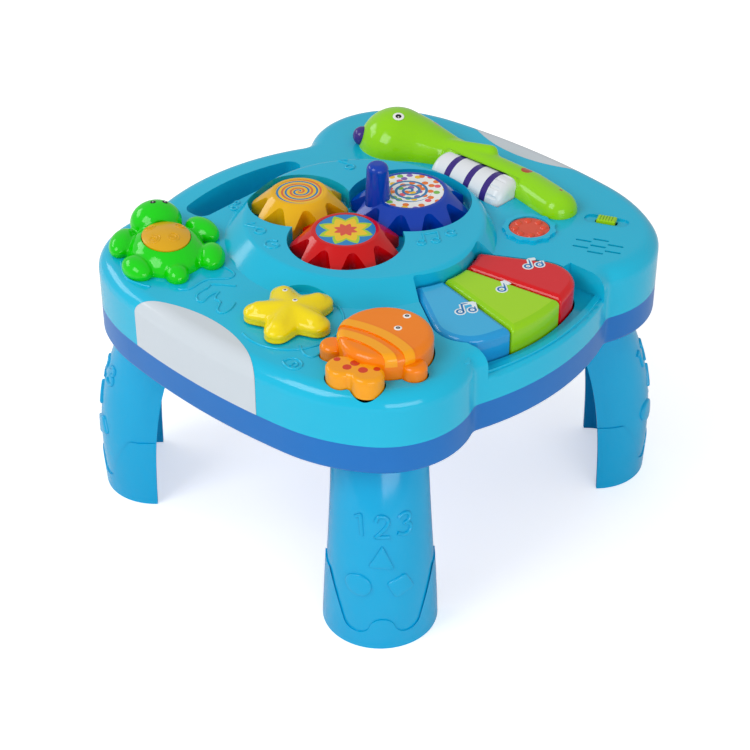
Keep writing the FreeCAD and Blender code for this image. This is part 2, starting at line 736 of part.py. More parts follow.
def turtle_body():
    parts = [turtle_shell(0.0)]
    head = Part.makeSphere(TURTLE_HEAD_RADIUS, V(TURTLE_HEAD_REACH, 0, TURTLE_HEAD_RISE))
    parts.append(head)
    parts.append(ellipsoid(TURTLE_TAIL_RADIUS + 2.0, TURTLE_TAIL_RADIUS, TURTLE_TAIL_RADIUS,
                           V(-TURTLE_TAIL_REACH, 0, 1.0)))
    for reach, aside, turn in ((FRONT_FLIPPER_REACH, FRONT_FLIPPER_SIDE, FRONT_FLIPPER_TURN),
                               (REAR_FLIPPER_REACH, REAR_FLIPPER_SIDE, REAR_FLIPPER_TURN)):
        for side in (1, -1):
            paddle = ellipsoid(FLIPPER_LENGTH / 2.0, FLIPPER_WIDTH / 2.0, FLIPPER_HEIGHT, V(0, 0, 0))
            paddle.rotate(V(0, 0, 0), V(0, 0, 1), side * turn)
            paddle.translate(V(reach, side * aside, 1.0))
            parts.append(paddle)
    body = fused(parts)
    body = body.common(Part.makeBox(200, 200, 60, V(-100, -100, 0)))
    well_z = TURTLE_HEIGHT - PLATE_WELL_DEPTH
    body = body.cut(plate_prism(PLATE_GAP, well_z, TURTLE_HEIGHT + 10))
    body = body.cut(Part.makeCylinder(STEM_RADIUS + PLATE_GAP, 60, V(0, 0, -20)))
    return turtle_place(body)


def turtle_drum_plate():
    well_z = TURTLE_HEIGHT - PLATE_WELL_DEPTH
    low = well_z + PLATE_TRAVEL + FACE_GAP
    plate = plate_prism(0.0, low, TURTLE_HEIGHT + 10).common(turtle_shell(PLATE_RISE))
    drop = Z_DECK - Z_DOME_TOP
    stem = Part.makeCylinder(STEM_RADIUS, low + 1.0 + drop, V(0, 0, -drop))
    return turtle_place(fused([plate, stem]))


# Dinosaur and its belly roller
def rod(start, end, radius):
    """Round-ended bar between two points."""
    line = end - start
    return fused([Part.makeCylinder(radius, line.Length, start, line),
                  Part.makeSphere(radius, start), Part.makeSphere(radius, end)])


def dino_head():
    ball = (DINO_HEAD_BASE_RADIUS ** 2 + DINO_HEAD_HEIGHT ** 2) / (2.0 * DINO_HEAD_HEIGHT)
    centre = V(DINO_HEAD_CENTRE.x, DINO_HEAD_CENTRE.y, Z_DECK + DINO_HEAD_HEIGHT - ball)
    return Part.makeSphere(ball, centre)


def above_deck(shape):
    return shape.common(box(0, 200, -200, 200, Z_DECK, Z_DECK + 60))


def roller_axis_z():
    return Z_DECK - ROLLER_AXIS_DROP


def roller_bar(radius, length):
    start = V(ROLLER_CENTRE.x, ROLLER_CENTRE.y - length / 2.0, roller_axis_z())
    return Part.makeCylinder(radius, length, start, V(0, 1, 0))


def dino_body():
    z = Z_DECK + DINO_BODY_RISE
    neck = V(DINO_BODY_X, DINO_NECK_Y, z)
    hip = V(DINO_HIP.x, DINO_HIP.y, z)
    tail = V(DINO_TAIL.x, DINO_TAIL.y, z)
    arm = rod(V(ARM_ROOT.x, ARM_ROOT.y, Z_DECK + ARM_ROOT.z),
              V(ARM_TIP.x, ARM_TIP.y, Z_DECK + ARM_TIP.z), ARM_RADIUS)
    body = fused([dino_head(), rod(neck, hip, DINO_BODY_RADIUS), rod(hip, tail, DINO_TAIL_RADIUS), arm])
    body = above_deck(body)
    return body.cut(roller_bar(ROLLER_RADIUS + ROLLER_GAP, ROLLER_LENGTH + 2 * ROLLER_GAP))


def dino_snout():
    bud = Part.makeSphere(SNOUT_RADIUS, V(SNOUT_CENTRE.x, SNOUT_CENTRE.y, Z_DECK + SNOUT_CENTRE.z))
    return above_deck(bud).cut(dino_head())


def belly_roller():
    roller = roller_bar(ROLLER_RADIUS, ROLLER_LENGTH)
    rims = [e for e in roller.Edges if e.Closed and e.BoundBox.YLength < 0.01]
    roller = roller.makeFillet(ROLLER_END_RADIUS, rims)
    start = ROLLER_CENTRE.y - ROLLER_LENGTH / 2.0
    ring = ROLLER_RADIUS + ROLLER_FLUTE_RADIUS * 0.4
    flutes = []
    for index in range(ROLLER_FLUTES):
        angle = 2 * math.pi * index / ROLLER_FLUTES
        place = V(ROLLER_CENTRE.x + ring * math.cos(angle), start - 1,
                  roller_axis_z() + ring * math.sin(angle))
        flutes.append(Part.makeCylinder(ROLLER_FLUTE_RADIUS, ROLLER_FLUTE_LENGTH + 1, place, V(0, 1, 0)))
    roller = roller.cut(flutes)
    return roller.cut(roller_bar(AXLE_RADIUS + RUNNING_FIT, ROLLER_LENGTH + 2))


def roller_axle():
    return roller_bar(AXLE_RADIUS, ROLLER_LENGTH + 2 * (ROLLER_GAP + AXLE_SEAT))


# Piano keys
def key_plan(first, last, grow, z0, z1):
    """Ring sector from one fan edge to another, grown outwards all round."""
    inner = KEY_INNER_RADIUS - grow
    outer = KEY_OUTER_RADIUS + grow

    def along(edge, side, radius):
        a = math.radians(KEY_EDGES[edge] - 90.0)
        out = V(math.cos(a), math.sin(a), 0)
        aside = V(-out.y, out.x, 0) * side
        reach = math.sqrt(radius ** 2 - grow ** 2)
        return FAN_CENTRE + out * reach + aside * grow

    def middle(radius):
        a = math.radians((KEY_EDGES[first] + KEY_EDGES[last]) / 2.0 - 90.0)
        return FAN_CENTRE + V(math.cos(a), math.sin(a), 0) * radius

    near_left, far_left = along(first, -1, inner), along(first, -1, outer)
    near_right, far_right = along(last, 1, inner), along(last, 1, outer)
    wire = Part.Wire([Part.LineSegment(near_left, far_left).toShape(),
                      Part.Arc(far_left, middle(outer), far_right).toShape(),
                      Part.LineSegment(far_right, near_right).toShape(),
                      Part.Arc(near_right, middle(inner), near_left).toShape()])
    block = prism(wire, z0, z1)
    round_corners = []
    if first == 0:
        round_corners.append(far_left)
    if last == len(KEY_EDGES) - 1:
        round_corners.append(far_right)
    square_corners = [p for p in (near_left, near_right, far_left, far_right) if p not in round_corners]
    if round_corners:
        block = block.makeFillet(KEY_CORNER_RADIUS + grow, upright_edges(block, round_corners, 0.5))
    small = max(KEY_SMALL_CORNER + grow, 0.5)
    return block.makeFillet(small, upright_edges(block, square_corners, 0.5))


Z_KEY_TOP = Z_DECK + KEY_RISE
Z_KEY_PIN = Z_KEY_TOP - KEY_PIN_DROP


def arm_box(index, grow_side, grow_end, grow_low, grow_high):
    half = KEY_ARM_WIDTH / 2.0 + grow_side
    return box(KEY_ARM_X[index] - half, KEY_ARM_X[index] + half,
               KEY_PIN_Y - KEY_ARM_REACH, KEY_PIN_Y + KEY_ARM_HEIGHT / 2.0 + grow_end,
               Z_KEY_PIN - KEY_ARM_HEIGHT / 2.0 - grow_low, Z_KEY_PIN + KEY_ARM_HEIGHT / 2.0 + grow_high)


def piano_key(index):
    inset = -KEY_GAP / 2.0
    z0 = Z_KEY_TOP - KEY_DEPTH
    key = key_plan(index, index + 1, inset, z0, Z_KEY_TOP)
    key = key.makeFillet(KEY_EDGE_RADIUS, top_edges(key, Z_KEY_TOP))
    hollow = key_plan(index, index + 1, inset - KEY_WALL, z0 - 1, Z_KEY_TOP - KEY_WALL - 1.0)
    arm = arm_box(index, 0, 0, 0, 0)
    stem_place = V(KEY_STEM_X[index], KEY_STEM_Y, 0)
    stem = cylinder(STEM_RADIUS, Z_KEY_TOP - KEY_WALL - Z_DOME_TOP, stem_place, Z_DOME_TOP)
    key = fused([key.cut(hollow), arm.cut(hollow), stem])
    bore = Part.makeCylinder(AXLE_RADIUS + RUNNING_FIT, KEY_ARM_WIDTH + 4,
                             V(KEY_ARM_X[index] - KEY_ARM_WIDTH / 2.0 - 2, KEY_PIN_Y, Z_KEY_PIN), V(1, 0, 0))
    return key.cut(bore)


def key_pin():
    start = KEY_ARM_X[0] - KEY_ARM_WIDTH / 2.0 - PIN_OVERHANG
    end = KEY_ARM_X[-1] + KEY_ARM_WIDTH / 2.0 + PIN_OVERHANG
    return Part.makeCylinder(AXLE_RADIUS, end - start, V(start, KEY_PIN_Y, Z_KEY_PIN), V(1, 0, 0))


def key_opening(grow, z0, z1):
    return key_plan(0, len(KEY_EDGES) - 1, KEY_EDGE_GAP - KEY_GAP / 2.0 + grow, z0, z1)


def pin_rail():
    """Ribs behind the keys that carry their hinge pin."""
    start = KEY_ARM_X[0] - KEY_ARM_WIDTH / 2.0 - PIN_OVERHANG
    end = KEY_ARM_X[-1] + KEY_ARM_WIDTH / 2.0 + PIN_OVERHANG
    reach = KEY_ARM_HEIGHT / 2.0 + KEY_ARM_GAP
    rail = box(start, end, KEY_PIN_Y - KEY_ARM_REACH, KEY_PIN_Y + reach, Z_KEY_PIN - reach, Z_KEY_PIN + reach)
    return rail


# Crab lamp
def scallop(radius, wave, waves, z0, z1):
    """Disc with a scalloped rim, as a ring of round lobes."""
    pitch = math.pi * radius / waves
    lobes = [cylinder(radius - wave, z1 - z0, CRAB_CENTRE, z0)]
    for index in range(waves):
        place = polar(CRAB_CENTRE, radius - pitch * 0.75, 360.0 * index / waves)
        lobes.append(cylinder(pitch * 0.75, z1 - z0, place, z0))
    return fused(lobes)


def crab_lens():
    top = Z_DECK + CRAB_LENS_RISE
    bottom = Z_DECK - WALL - LENS_THICKNESS
    lens = fused([cylinder(CRAB_RADIUS, top - bottom, CRAB_CENTRE, bottom),
                  cylinder(CRAB_RADIUS + LENS_FLANGE, LENS_THICKNESS, CRAB_CENTRE, bottom)])
    lens = lens.makeFillet(0.6, top_edges(lens, top))
    bump = CRAB_LOBE_HEIGHT * 2.0
    lobes = [Part.makeSphere(bump, V(p.x, p.y, top - bump + CRAB_LOBE_HEIGHT))
             for p in (polar(CRAB_CENTRE, CRAB_RADIUS - bump - 1.0, 360.0 * k / CRAB_LOBES)
                       for k in range(CRAB_LOBES))]
    lens = fused([lens] + lobes)
    socket = cylinder(LAMP_RADIUS + LAMP_GAP, LAMP_HEIGHT, CRAB_CENTRE, bottom)
    return lens.cut(socket)


def crab_lamp():
    bottom = Z_DECK - WALL - LENS_THICKNESS
    tip = bottom + LAMP_HEIGHT - LAMP_GAP - LAMP_RADIUS
    return fused([cylinder(LAMP_RADIUS, tip - bottom + 2.0, CRAB_CENTRE, bottom - 2.0),
                  Part.makeSphere(LAMP_RADIUS, V(CRAB_CENTRE.x, CRAB_CENTRE.y, tip)),
                  cylinder(LAMP_RADIUS + 1.2, 2.0, CRAB_CENTRE, bottom - 2.0)])


# Speaker, switch and boards
def speaker():
    top = Z_DECK - WALL
    points = [V(0, 0, top - SPEAKER_DEPTH), V(SPEAKER_RADIUS * 0.6, 0, top - SPEAKER_DEPTH),
              V(SPEAKER_RADIUS * 0.6, 0, top - SPEAKER_DEPTH * 0.6),
              V(SPEAKER_RADIUS * 0.9, 0, top - SPEAKER_DEPTH * 0.2), V(SPEAKER_RADIUS, 0, top - SPEAKER_DEPTH * 0.2),
              V(SPEAKER_RADIUS, 0, top), V(0, 0, top)]
    unit = Part.Face(Part.makePolygon(points + points[:1])).revolve(V(0, 0, 0), V(0, 0, 1), 360)
    unit.translate(SPEAKER_CENTRE)
    return unit


def sound_slots():
    """Three rows of short round-ended slots over the speaker."""
    slots = []
    for row in range(SLOT_ROWS):
        across = (row - (SLOT_ROWS - 1) / 2.0) * SLOT_ROW_PITCH
        count = 3 if row == 1 else 2
        for step in range(count):
            along = (step - (count - 1) / 2.0) * SLOT_PITCH
            bar = Part.makeBox(SLOT_WIDTH, SLOT_LENGTH, WALL * 3, V(-SLOT_WIDTH / 2.0, -SLOT_LENGTH / 2.0, 0))
            ends = [cylinder(SLOT_WIDTH / 2.0, WALL * 3, V(0, y, 0), 0)
                    for y in (-SLOT_LENGTH / 2.0, SLOT_LENGTH / 2.0)]
            slot = fused([bar] + ends)
            slot.translate(V(along, across, 0))
            slot.rotate(V(0, 0, 0), V(0, 0, 1), SLOT_TURN)
            slot.translate(V(SPEAKER_CENTRE.x, SPEAKER_CENTRE.y, Z_DECK - 2 * WALL))
            slots.append(slot)
    return slots


def switch_place(shape):
    shape.rotate(V(0, 0, 0), V(0, 0, 1), SWITCH_BEARING)
    shape.translate(V(SWITCH_CENTRE.x, SWITCH_CENTRE.y, 0))
    return shape


def centred_box(length, width, z0, z1):
    return Part.makeBox(length, width, z1 - z0, V(-length / 2.0, -width / 2.0, z0))


def recess_cut():
    z0 = Z_DECK - SWITCH_RECESS_DEPTH
    cut = centred_box(SWITCH_RECESS_LENGTH, SWITCH_RECESS_WIDTH, z0, Z_DECK + 5)
    corners = [V(x * SWITCH_RECESS_LENGTH / 2.0, y * SWITCH_RECESS_WIDTH / 2.0, 0)
               for x in (1, -1) for y in (1, -1)]
    return switch_place(cut.makeFillet(SWITCH_RECESS_WIDTH * 0.45, upright_edges(cut, corners, 0.1)))


def switch_window(z0, z1):
    length = SWITCH_STEM_LENGTH + 2 * SWITCH_TRAVEL + 2 * FACE_GAP
    return switch_place(centred_box(length, SWITCH_STEM_WIDTH + 2 * FACE_GAP, z0, z1))


def power_switch_slider():
    low = Z_DECK - SWITCH_RECESS_DEPTH + FACE_GAP
    top = Z_DECK + SLIDER_RISE
    cap = centred_box(SLIDER_LENGTH, SLIDER_WIDTH, low, top)
    cap = cap.makeChamfer(1.0, top_edges(cap, top))
    grooves = []
    for step in range(-2, 3):
        grooves.append(Part.makeBox(0.8, SLIDER_WIDTH + 2, 1.0, V(step * 2.0 - 0.4, -SLIDER_WIDTH / 2.0 - 1, top - 0.6)))
    stem = centred_box(SWITCH_STEM_LENGTH, SWITCH_STEM_WIDTH, Z_DECK - WALL - SWITCH_STEM_DEPTH, low + 0.5)
    return switch_place(fused([cap.cut(grooves), stem]))


def slide_switch():
    top = Z_DECK - WALL
    length = SWITCH_STEM_LENGTH + 2 * SWITCH_TRAVEL + 6.0
    case = centred_box(length, SWITCH_STEM_WIDTH + 4.0, top - SWITCH_STEM_DEPTH - 4.0, top)
    return switch_place(case).cut(switch_window(top - SWITCH_STEM_DEPTH - FACE_GAP, top + 1))


def board_with_holes(board, posts):
    for place in posts:
        board = board.cut(cylinder(SCREW_SHANK_RADIUS + PILOT_CLEARANCE, BOARD_THICKNESS + 2,
                                   V(place[0], place[1], 0), Z_BOARD - 1))
    return board


def circuit_board():
    board = box(BOARD_X[0], BOARD_X[1], BOARD_Y[0], BOARD_Y[1], Z_BOARD, Z_BOARD_TOP)
    corners = [V(x, y, 0) for x in BOARD_X for y in BOARD_Y]
    board = board.makeFillet(3.0, upright_edges(board, corners, 0.1))
    return board_with_holes(board, BOARD_POSTS)


def drum_posts():
    return [(TURTLE_CENTRE.x + side * DRUM_POST_REACH, TURTLE_CENTRE.y + side * DRUM_POST_REACH)
            for side in (1, -1)]


def drum_board():
    half = DRUM_BOARD_SIZE / 2.0
    board = box(TURTLE_CENTRE.x - half, TURTLE_CENTRE.x + half,
                TURTLE_CENTRE.y - half, TURTLE_CENTRE.y + half, Z_BOARD, Z_BOARD_TOP)
    return board_with_holes(board, drum_posts())


def dome(centre):
    """Rubber spring under a button stem."""
    return Part.makeCone(DOME_BASE_RADIUS, DOME_TOP_RADIUS, DOME_HEIGHT, V(centre.x, centre.y, Z_BOARD_TOP))


def screw(place, head_z, length):
    """Pan-head screw pointing up, or down when the length is negative."""
    sign = 1 if length > 0 else -1
    axis = V(0, 0, sign)
    at = V(place[0], place[1], head_z)
    head = Part.makeCylinder(SCREW_HEAD_RADIUS, SCREW_HEAD_HEIGHT, at - axis * SCREW_HEAD_HEIGHT, axis)
    shank = Part.makeCylinder(SCREW_SHANK_RADIUS, abs(length), at, axis)
    cross = Part.makeBox(SCREW_HEAD_RADIUS * 1.2, 0.7, 0.8, at - V(SCREW_HEAD_RADIUS * 0.6, 0.35, 0.4)
                         - axis * (SCREW_HEAD_HEIGHT - 0.4))
    return head.fuse(shank).removeSplitter().cut(cross)


# Labels
def gear_label(name):
    centre, teeth, _ = GEARS[name]
    disc = cylinder(label_radius(teeth), LABEL_THICKNESS, centre, Z_GEAR_TOP - LABEL_RECESS)
    if name == "blue":
        disc = disc.cut(cylinder(KNOB_BASE_RADIUS + FACE_GAP, 5.0, knob_centre(), Z_GEAR_TOP - 2.0))
    return disc


# Legs
def leg_form(grow, mouth):
    """Bowed loft through U-shaped sections, apex towards +X, mid-width on the X axis."""
    sections = []
    for z, half_width, inset, flank in zip(LEG_LEVELS, LEG_HALF_WIDTHS, LEG_INSETS, LEG_FLANKS):
        centre = -inset - half_width
        r = half_width + grow
        back = centre - flank - mouth
        arc = Part.Arc(V(centre, -r, z), V(centre + r, 0, z), V(centre, r, z)).toShape()
        lines = [(V(centre, r, z), V(back, r, z)), (V(back, r, z), V(back, -r, z)),
                 (V(back, -r, z), V(centre, -r, z))]
        sections.append(Part.Wire([arc] + [Part.LineSegment(a, b).toShape() for a, b in lines]))
    return Part.makeLoft(sections, True, False)


def cuff_region():
    """Slab in front of the leg, below a wavy line with two dips and a crest."""
    rise = CUFF_CREST_HEIGHT - CUFF_LOW_HEIGHT
    r = (CUFF_DIP_SPACING ** 2 + rise ** 2) / (4.0 * rise)
    wide = LEG_HALF_WIDTHS[0] * 2.0
    lean = math.radians(CUFF_SIDE_LEAN)

    def at(t, z):
        return V(-wide, t, z)

    def half(side):
        middle = side * CUFF_DIP_SPACING
        dip_z = CUFF_LOW_HEIGHT + r
        crest_z = CUFF_CREST_HEIGHT - r
        meet = at(middle / 2.0, (dip_z + crest_z) / 2.0)
        leave = at(middle + side * r * math.cos(lean), dip_z - r * math.sin(lean))
        top_t = leave.y + side * (CUFF_SIDE_HEIGHT - leave.z) * math.tan(lean)
        return meet, at(middle, CUFF_LOW_HEIGHT), leave, at(top_t, CUFF_SIDE_HEIGHT)

    right, left = half(1), half(-1)
    edges = [Part.Arc(left[0], at(0, CUFF_CREST_HEIGHT), right[0]).toShape(),
             Part.Arc(right[0], right[1], right[2]).toShape(),
             Part.Arc(left[2], left[1], left[0]).toShape()]
    corners = [right[2], right[3], at(wide, CUFF_SIDE_HEIGHT), at(wide, -1.0),
               at(-wide, -1.0), at(-wide, CUFF_SIDE_HEIGHT), left[3], left[2]]
    for a, b in zip(corners, corners[1:]):
        edges.append(Part.LineSegment(a, b).toShape())
    face = Part.Face(Part.Wire(Part.sortEdges(edges)[0]))
    return face.extrude(V(2.0 * wide, 0, 0))


def leg(side_x, side_y, apex_y):
    """Hollow channel leg, open towards the middle, with a plug on top."""
    skin = leg_form(0.0, 0.0)
    cuff = leg_form(CUFF_THICKNESS, 0.0).common(cuff_region())
    inside = leg_form(-LEG_WALL, LEG_MOUTH)
    inside = inside.common(box(-200, 200, -200, 200, -1, Z_BODY - LEG_WALL))
    shape = skin.fuse(cuff).cut(inside)
    plug_x = -LEG_INSETS[-1] - PLUG_BACKSET
    plug = Part.makeBox(PLUG_WIDTH, PLUG_LENGTH, PLUG_HEIGHT,
                        V(plug_x - PLUG_WIDTH / 2.0, -PLUG_LENGTH / 2.0, Z_BODY))
    plug = plug.makeFillet(2.0, top_edges(plug, Z_BODY + PLUG_HEIGHT))
    return place_leg(fused([shape, plug]), side_x, side_y, apex_y)


def place_leg(shape, side_x, side_y, apex_y):
    shape.rotate(V(0, 0, 0), V(0, 0, 1), math.degrees(math.atan2(side_y, side_x)))
    shape.translate(V(side_x * LEG_APEX_X, apex_y, 0))
    return shape


LEG_PLACES = {"leg_front_left": (-1, -1, FRONT_LEG_APEX_Y), "leg_front_right": (1, -1, FRONT_LEG_APEX_Y),
              "leg_rear_left": (-1, 1, BACK_LEG_APEX_Y), "leg_rear_right": (1, 1, BACK_LEG_APEX_Y)}


def plug_socket(grow, height, place):
    """Pocket for a leg's plug, grown on all sides."""
    plug_x = -LEG_INSETS[-1] - PLUG_BACKSET
    half_x, half_y = PLUG_WIDTH / 2.0 + grow, PLUG_LENGTH / 2.0 + grow
    pocket = Part.makeBox(2 * half_x, 2 * half_y, height, V(plug_x - half_x, -half_y, Z_BODY))
    return place_leg(pocket, *place)


# Side panels let into the upper shell
def outer_skin(inset):
    edge = DECK_EDGE_RADIUS - inset
    return deck_block(inset, Z_SEAM, Z_DECK - inset, edge)


def side_panel(side):
    skin = outer_skin(0.0).common(panel_region(side, -PANEL_JOINT))
    return skin.cut(outer_skin(PANEL_THICKNESS))


# Upper shell
def carry_wall(z0, z1):
    return carry_slot(WALL, z0, z1)


def outer_form():
    hub = hub_block(0.0, 0.0, Z_HUB)
    hub = hub.makeFillet(HUB_EDGE_RADIUS, top_edges(hub, Z_HUB))
    return fused([outer_skin(0.0), ledge_block(0.0, Z_SEAM, Z_LEDGE, LEDGE_EDGE_RADIUS), hub])


def inner_form():
    hub = hub_block(WALL, 0.0, Z_HUB)
    hub.translate(V(0, 0, -WALL))
    deck = deck_block(WALL, Z_SEAM, Z_DECK - WALL, DECK_EDGE_RADIUS - WALL)
    ledge = ledge_block(WALL, Z_SEAM, Z_LEDGE - WALL, LEDGE_EDGE_RADIUS * 0.5)
    return fused([deck, ledge, hub])


def pan_cylinders(grow, z0, z1):
    return [cylinder(outer_radius(teeth) + PAN_CLEARANCE + grow, z1 - z0, centre, z0)
            for centre, teeth, _ in GEARS.values()]


def ledge_lip():
    """Raised rim along the front edge of the shelf."""
    band = prism(deck_outline(LEDGE_EDGE_RADIUS), Z_LEDGE - 0.5, Z_LEDGE + LEDGE_LIP_RISE)
    band = band.cut(prism(deck_outline(LEDGE_EDGE_RADIUS + LEDGE_LIP_WIDTH), Z_LEDGE - 1, Z_LEDGE + 5))
    half = LEDGE_HALF_WIDTH
    return band.common(box(-half, half, -FRONT_REACH - 5, -FRONT_REACH + 25, Z_LEDGE - 1, Z_LEDGE + 5))


def well(grow, extra):
    return roller_bar(ROLLER_RADIUS + ROLLER_GAP + grow, ROLLER_LENGTH + 2 * (ROLLER_GAP + extra))


def top_shell():
    outer = outer_form()
    added = pan_cylinders(WALL, Z_PAN - WALL, Z_HUB)
    added.append(cylinder(STAR_TIP_RADIUS + ALCOVE_CLEARANCE + WALL, Z_HUB - Z_DECK + WALL,
                          STAR_CENTRE, Z_DECK - WALL))
    added.append(carry_wall(Z_SEAM, Z_HUB))
    added.append(key_opening(WALL, Z_LEDGE - WALL, Z_HUB))
    added.append(pin_rail())
    added.append(well(WALL, AXLE_SEAT + 1.5))
    boss_top = Z_DECK - WALL * 0.5
    for place in SHELL_SCREWS:
        added.append(cylinder(BOSS_RADIUS, boss_top - JOIN_HEIGHT, V(place[0], place[1], 0), JOIN_HEIGHT))
    shell = outer.cut(inner_form())
    shell = shell.multiFuse([piece.common(outer) for piece in added[:-len(SHELL_SCREWS)]])
    shell = shell.multiFuse(added[-len(SHELL_SCREWS):])
    raised = [ledge_lip(), scallop(CRAB_BORDER_RADIUS, CRAB_BORDER_WAVE, CRAB_BORDER_WAVES,
                                   Z_DECK - WALL, Z_DECK + CRAB_BORDER_RISE)]
    for centre, _, _ in GEARS.values():
        raised.append(cylinder(SPINDLE_COLLAR_RADIUS, Z_GEAR - FACE_GAP - Z_PAN + 0.5, centre, Z_PAN - 0.5))
    cuts = pan_cylinders(0.0, Z_PAN, Z_HUB + 5)
    cuts.append(cylinder(STAR_TIP_RADIUS + ALCOVE_CLEARANCE, 20, STAR_CENTRE, Z_DECK))
    cuts.append(carry_slot(0.0, Z_SEAM - 5, Z_HUB + 5))
    cuts.append(key_opening(0.0, Z_LEDGE - WALL - 5, Z_HUB + 5))
    for index in range(len(KEY_ARM_X)):
        cuts.append(arm_box(index, KEY_ARM_GAP, KEY_ARM_GAP + 1, KEY_ARM_DROP, KEY_ARM_GAP + 0.1))
    cuts.append(key_pin())
    cuts.append(fish_plan(BUTTON_GAP, Z_DECK - WALL - 5, Z_DECK + 30))
    cuts.append(cylinder(STEM_RADIUS + PLATE_GAP, WALL + 10, TURTLE_CENTRE, Z_DECK - WALL - 5))
    cuts.append(well(0.0, 0.0))
    cuts.append(roller_axle())
    cuts.append(cylinder(CRAB_RADIUS + PANEL_JOINT, 20, CRAB_CENTRE, Z_DECK - 10))
    cuts += sound_slots()
    cuts.append(recess_cut())
    cuts.append(switch_window(Z_DECK - WALL - 1, Z_DECK + 1))
    for place in SHELL_SCREWS:
        depth = SCREW_LENGTH - (JOIN_HEIGHT - Z_BODY - SCREW_COUNTERBORE) + 1.0
        cuts.append(cylinder(SCREW_SHANK_RADIUS + PILOT_CLEARANCE, depth, V(place[0], place[1], 0), JOIN_HEIGHT))
    for side in (-1, 1):
        skin = outer_skin(0.0).cut(outer_skin(PANEL_THICKNESS))
        cuts.append(skin.common(panel_region(side, 0.0)))
    collar_star = cylinder(SPINDLE_COLLAR_RADIUS, STAR_LIFT - FACE_GAP + 0.5, STAR_CENTRE, Z_DECK - 0.5)
    posts = [cylinder(SPINDLE_RADIUS + PILOT_CLEARANCE, 20, centre, Z_PAN - 10) for centre, _, _ in GEARS.values()]
    posts.append(cylinder(SPINDLE_RADIUS + PILOT_CLEARANCE, 20, STAR_CENTRE, Z_DECK - 10))
    shell = shell.fuse(raised[1])
    shell = shell.cut(cuts)
    shell = shell.multiFuse([raised[0]] + raised[2:] + [collar_star])
    return shell.cut(posts)


# Lower shell
def battery_box_size(grow):
    """Inside plan of the battery bay, grown on all sides."""
    half_x = CELL_LENGTH / 2.0 + CELL_END_ROOM + grow
    half_y = CELL_COUNT * CELL_PITCH / 2.0 + grow
    return (BATTERY_CENTRE.x - half_x, BATTERY_CENTRE.x + half_x,
            BATTERY_CENTRE.y - half_y, BATTERY_CENTRE.y + half_y)


Z_CELL = Z_BODY + DOOR_THICKNESS + FACE_GAP + CELL_RADIUS
Z_BAY_TOP = Z_CELL + CELL_RADIUS + FACE_GAP


def door_screw_place():
    x1 = battery_box_size(0.0)[1]
    return (x1 + DOOR_EAR / 2.0, BATTERY_CENTRE.y)


def door_plan(grow, z0, z1):
    x0, x1, y0, y1 = battery_box_size(DOOR_FLANGE + grow)
    plate = box(x0, x1, y0, y1, z0, z1)
    ear_x, ear_y = door_screw_place()
    ear = cylinder(DOOR_EAR / 2.0 + grow, z1 - z0, V(ear_x, ear_y, 0), z0)
    return fused([plate, ear])


def bottom_shell():
    outer = prism(deck_outline(0.0), Z_BODY, Z_SEAM)
    outer = outer.makeFillet(LOWER_EDGE_RADIUS, top_edges(outer, Z_BODY))
    inner = prism(deck_outline(WALL), Z_BODY + WALL, Z_SEAM + 1)
    added = [carry_wall(Z_BODY, Z_SEAM)]
    for place in LEG_PLACES.values():
        added.append(plug_socket(WALL, PLUG_HEIGHT + FACE_GAP, place))
    for place in SHELL_SCREWS:
        added.append(cylinder(BOSS_RADIUS, JOIN_HEIGHT - Z_BODY, V(place[0], place[1], 0), Z_BODY))
    for place in list(BOARD_POSTS) + drum_posts():
        added.append(cylinder(BOARD_POST_RADIUS, Z_BOARD - Z_BODY, V(place[0], place[1], 0), Z_BODY))
    x0, x1, y0, y1 = battery_box_size(BOX_WALL)
    added.append(box(x0, x1 + DOOR_EAR, y0, y1, Z_BODY, Z_BAY_TOP + BOX_WALL))
    shell = outer.cut(inner).multiFuse(added)
    x0, x1, y0, y1 = battery_box_size(0.0)
    cuts = [box(x0, x1, y0, y1, Z_BODY - 1, Z_BAY_TOP),
            door_plan(DOOR_JOINT, Z_BODY - 1, Z_BODY + DOOR_THICKNESS),
            carry_slot(0.0, Z_BODY - 5, Z_SEAM + 5)]
    ear = door_screw_place()
    pilot = DOOR_SCREW_LENGTH + 1.0
    cuts.append(cylinder(SCREW_SHANK_RADIUS + PILOT_CLEARANCE, pilot, V(ear[0], ear[1], 0), Z_BODY))
    for place in LEG_PLACES.values():
        cuts.append(plug_socket(PLUG_JOINT, PLUG_HEIGHT + FACE_GAP, place))
    for place in SHELL_SCREWS:
        at = V(place[0], place[1], 0)
        cuts.append(cylinder(SCREW_HEAD_RADIUS + FACE_GAP, SCREW_COUNTERBORE + 1, at, Z_BODY - 1))
        cuts.append(cylinder(SCREW_SHANK_RADIUS + PILOT_CLEARANCE, 30, at, Z_BODY))
    for place in list(BOARD_POSTS) + drum_posts():
        depth = BOARD_SCREW_LENGTH - BOARD_THICKNESS + 0.5
        at = V(place[0], place[1], 0)
        cuts.append(cylinder(SCREW_SHANK_RADIUS + PILOT_CLEARANCE, depth, at, Z_BOARD - depth))
    return shell.cut(cuts).removeSplitter()


def battery_door():
    ear = door_screw_place()
    door = door_plan(0.0, Z_BODY, Z_BODY + DOOR_THICKNESS)
    door = door.cut(cylinder(SCREW_HEAD_RADIUS + FACE_GAP, SCREW_HEAD_HEIGHT / 2.0 + 1, V(ear[0], ear[1], 0), Z_BODY - 1))
    return door.cut(cylinder(SCREW_SHANK_RADIUS + PILOT_CLEARANCE, 10, V(ear[0], ear[1], 0), Z_BODY))


